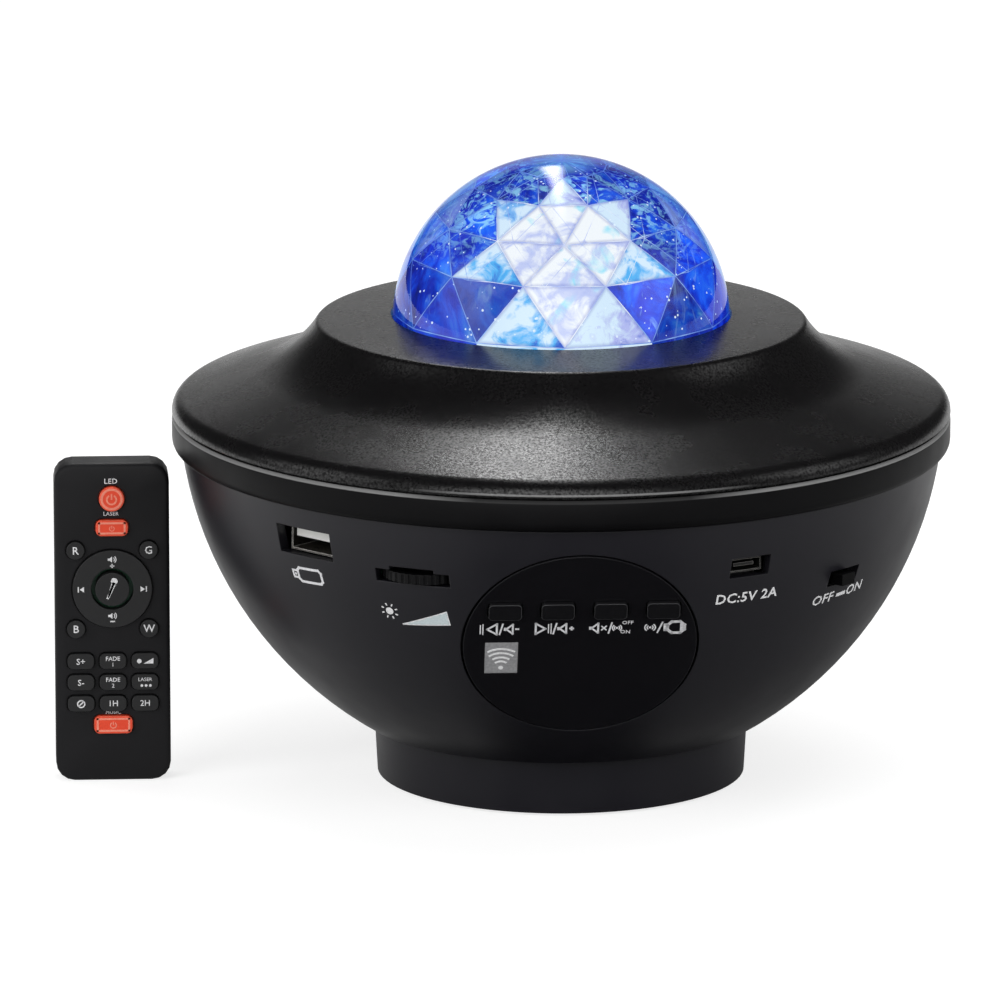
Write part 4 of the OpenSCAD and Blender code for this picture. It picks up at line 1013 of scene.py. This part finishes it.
def bowlMarks():
    x, y = -5.24, 4.66
    sun = spot(x, y, 0.86, 20)
    for angle in range(20, 380, 45):
        sun += strip([onCircle(x, y, 1.55, angle), onCircle(x, y, 1.82, angle)], 0.3)
    dimmer = onBowl(-27.4, 47)
    printed("sunMark", sun, dimmer)
    corners = [(-2.56, 1.72), (8.05, 2.55), (7.8, 5.72)]
    printed("rampFill", [corners], dimmer, inkName="paleInk")
    printed("rampEdge", outline(corners, 0.3), dimmer)
    rating = lettering("DC:5V 2A", 2.38, -0.35, 2.45, 1.06, squeeze=1.03, bold=0.04)
    printed("ratingMark", rating, onBowl(27.2, 52, 0.5))
    switchWords = lettering("OFF", 2.45, -5.35, 3.65, 1.04, squeeze=1.08, bold=0.025) \
        + lettering("ON", 2.45, 4.9, 3.65, 1.04, squeeze=1.04, bold=0.025) + bar(-0.75, 3.6, 1.35, 3.6, 0.8)
    printed("switchMarks", switchWords, onBowl(47.8, 47, 4))
    stick = stickMark(1.3, 1.35, 6.7, 3.2, 1.5, 0.56) + spot(-2.85, 1.35, 0.3, 10)
    printed("stickMark", stick, onBowl(-46.75, 55, 2), inkName="bowlInk")


# remote control: words on the face, and signs on the keys
def powerSign(x, y, size):
    return arcBand(x, y, size, size * 0.36, 120, 420, 18) + bar(x, y + size * 0.2, x, y + size * 1.1, size * 0.36)


def soundSign(x, y, size):
    corners = (-0.9, -0.28), (-0.45, -0.28), (0.1, -0.72), (0.1, 0.72), (-0.45, 0.28), (-0.9, 0.28)
    shapes = [[(x + right * size, y + up * size) for right, up in corners]]
    for radius in (0.55, 0.95):
        shapes += arcBand(x + 0.1 * size, y, radius * size, 0.2 * size, -50, 50, 6)
    return shapes


def skipSign(x, y, size, pointing):
    return [arrow(x - pointing * size * 0.05, y, size, size * 1.3, pointing)] \
        + upright(x + pointing * size * 0.75, y, size, 0.26 * size)


def voiceSign():
    return spot(0.42, 43.95, 0.72, 18) + [[(-0.14, 43.75), (0.82, 43.4), (-0.66, 40.28), (-1.02, 40.42)]] \
        + strip([(0.3, 43.45), (-0.35, 41.85), (-0.95, 40.35)], 0.5)


def remoteMarks():
    face = onRemote()
    words = lettering("LED", 1.15, -0.15, 65.4, 1.08, bold=0.012) + lettering("LASER", 0.85, -0.15, 58.35, 1.05) \
        + lettering("MUSIC", 0.8, 0, 15, 1.05)
    printed("remoteWords", words, face, "remote")
    red = {
        "led_key": powerSign(0, 61.6, 1) + ringBand(0, 61.7, 2.12, 0.5),
        "laser_key": powerSign(0, 55.3, 0.5) + boxMark(0, 55.4, 5.4, 2.2, 0.42),
        "music_key": powerSign(0, 12.35, 0.62) + boxMark(0, 12.45, 6.7, 2.6, 0.42),
    }
    for key, shapes in red.items():
        printed(key + "Sign", shapes, onRemote(remote["keyProud"]), key + "_body", "paleRedInk")
    letters = {"red_key": ("R", -7.75, 50.5), "green_key": ("G", 7.75, 50.5),
               "blue_key": ("B", -7.75, 33.4), "white_key": ("W", 7.75, 33.4)}
    plain = {key: lettering(letter, 1.7, x, y, bold=0.02) for key, (letter, x, y) in letters.items()}
    plain.update({
        "ring_key": soundSign(-0.1, 48.6, 0.9) + bar(-0.32, 47.2, 0.32, 47.2, 0.26)
        + bar(0, 46.9, 0, 47.52, 0.26) + soundSign(-0.1, 36.3, 0.9) + bar(-0.35, 35.1, 0.35, 35.1, 0.28)
        + skipSign(-6.5, 42.1, 0.95, -1) + skipSign(6.5, 42.1, 0.95, 1),
        "speed_up_key": lettering("S+", 1.35, -6.8, 26.3, bold=0.012),
        "speed_down_key": lettering("S-", 1.35, -6.8, 21.7, bold=0.012),
        "fade_in_key": lettering("FADE", 0.95, 0, 26.9, bold=0.012) + lettering("1", 0.9, 0, 25.6),
        "fade_out_key": lettering("FADE", 0.95, 0, 22.3, bold=0.012) + lettering("2", 0.9, 0, 21),
        "star_key": spot(5.6, 26.35, 0.5) + [[(6.5, 25.8), (8.6, 25.8), (8.6, 27)]],
        "breathe_key": lettering("LASER", 0.8, 6.8, 22.3) + spot(6.1, 21, 0.3) + spot(7, 21, 0.3)
        + spot(7.9, 21, 0.3),
        "cancel_key": ringBand(-6.8, 17.1, 0.75, 0.26) + bar(-7.25, 16.65, -6.35, 17.55, 0.26),
        "one_hour_key": lettering("1H", 1.3, 0, 17.1, bold=0.012),
        "two_hour_key": lettering("2H", 1.3, 6.8, 17.1, bold=0.012),
    })
    for key, shapes in plain.items():
        printed(key + "Sign", shapes, onRemote(remote["keyProud"]), key + "_body")
    printed("voice_keySign", voiceSign(), onRemote(remote["voiceProud"]), "voice_key_body")


panelMarks()
bowlMarks()
remoteMarks()
print("marks printed")
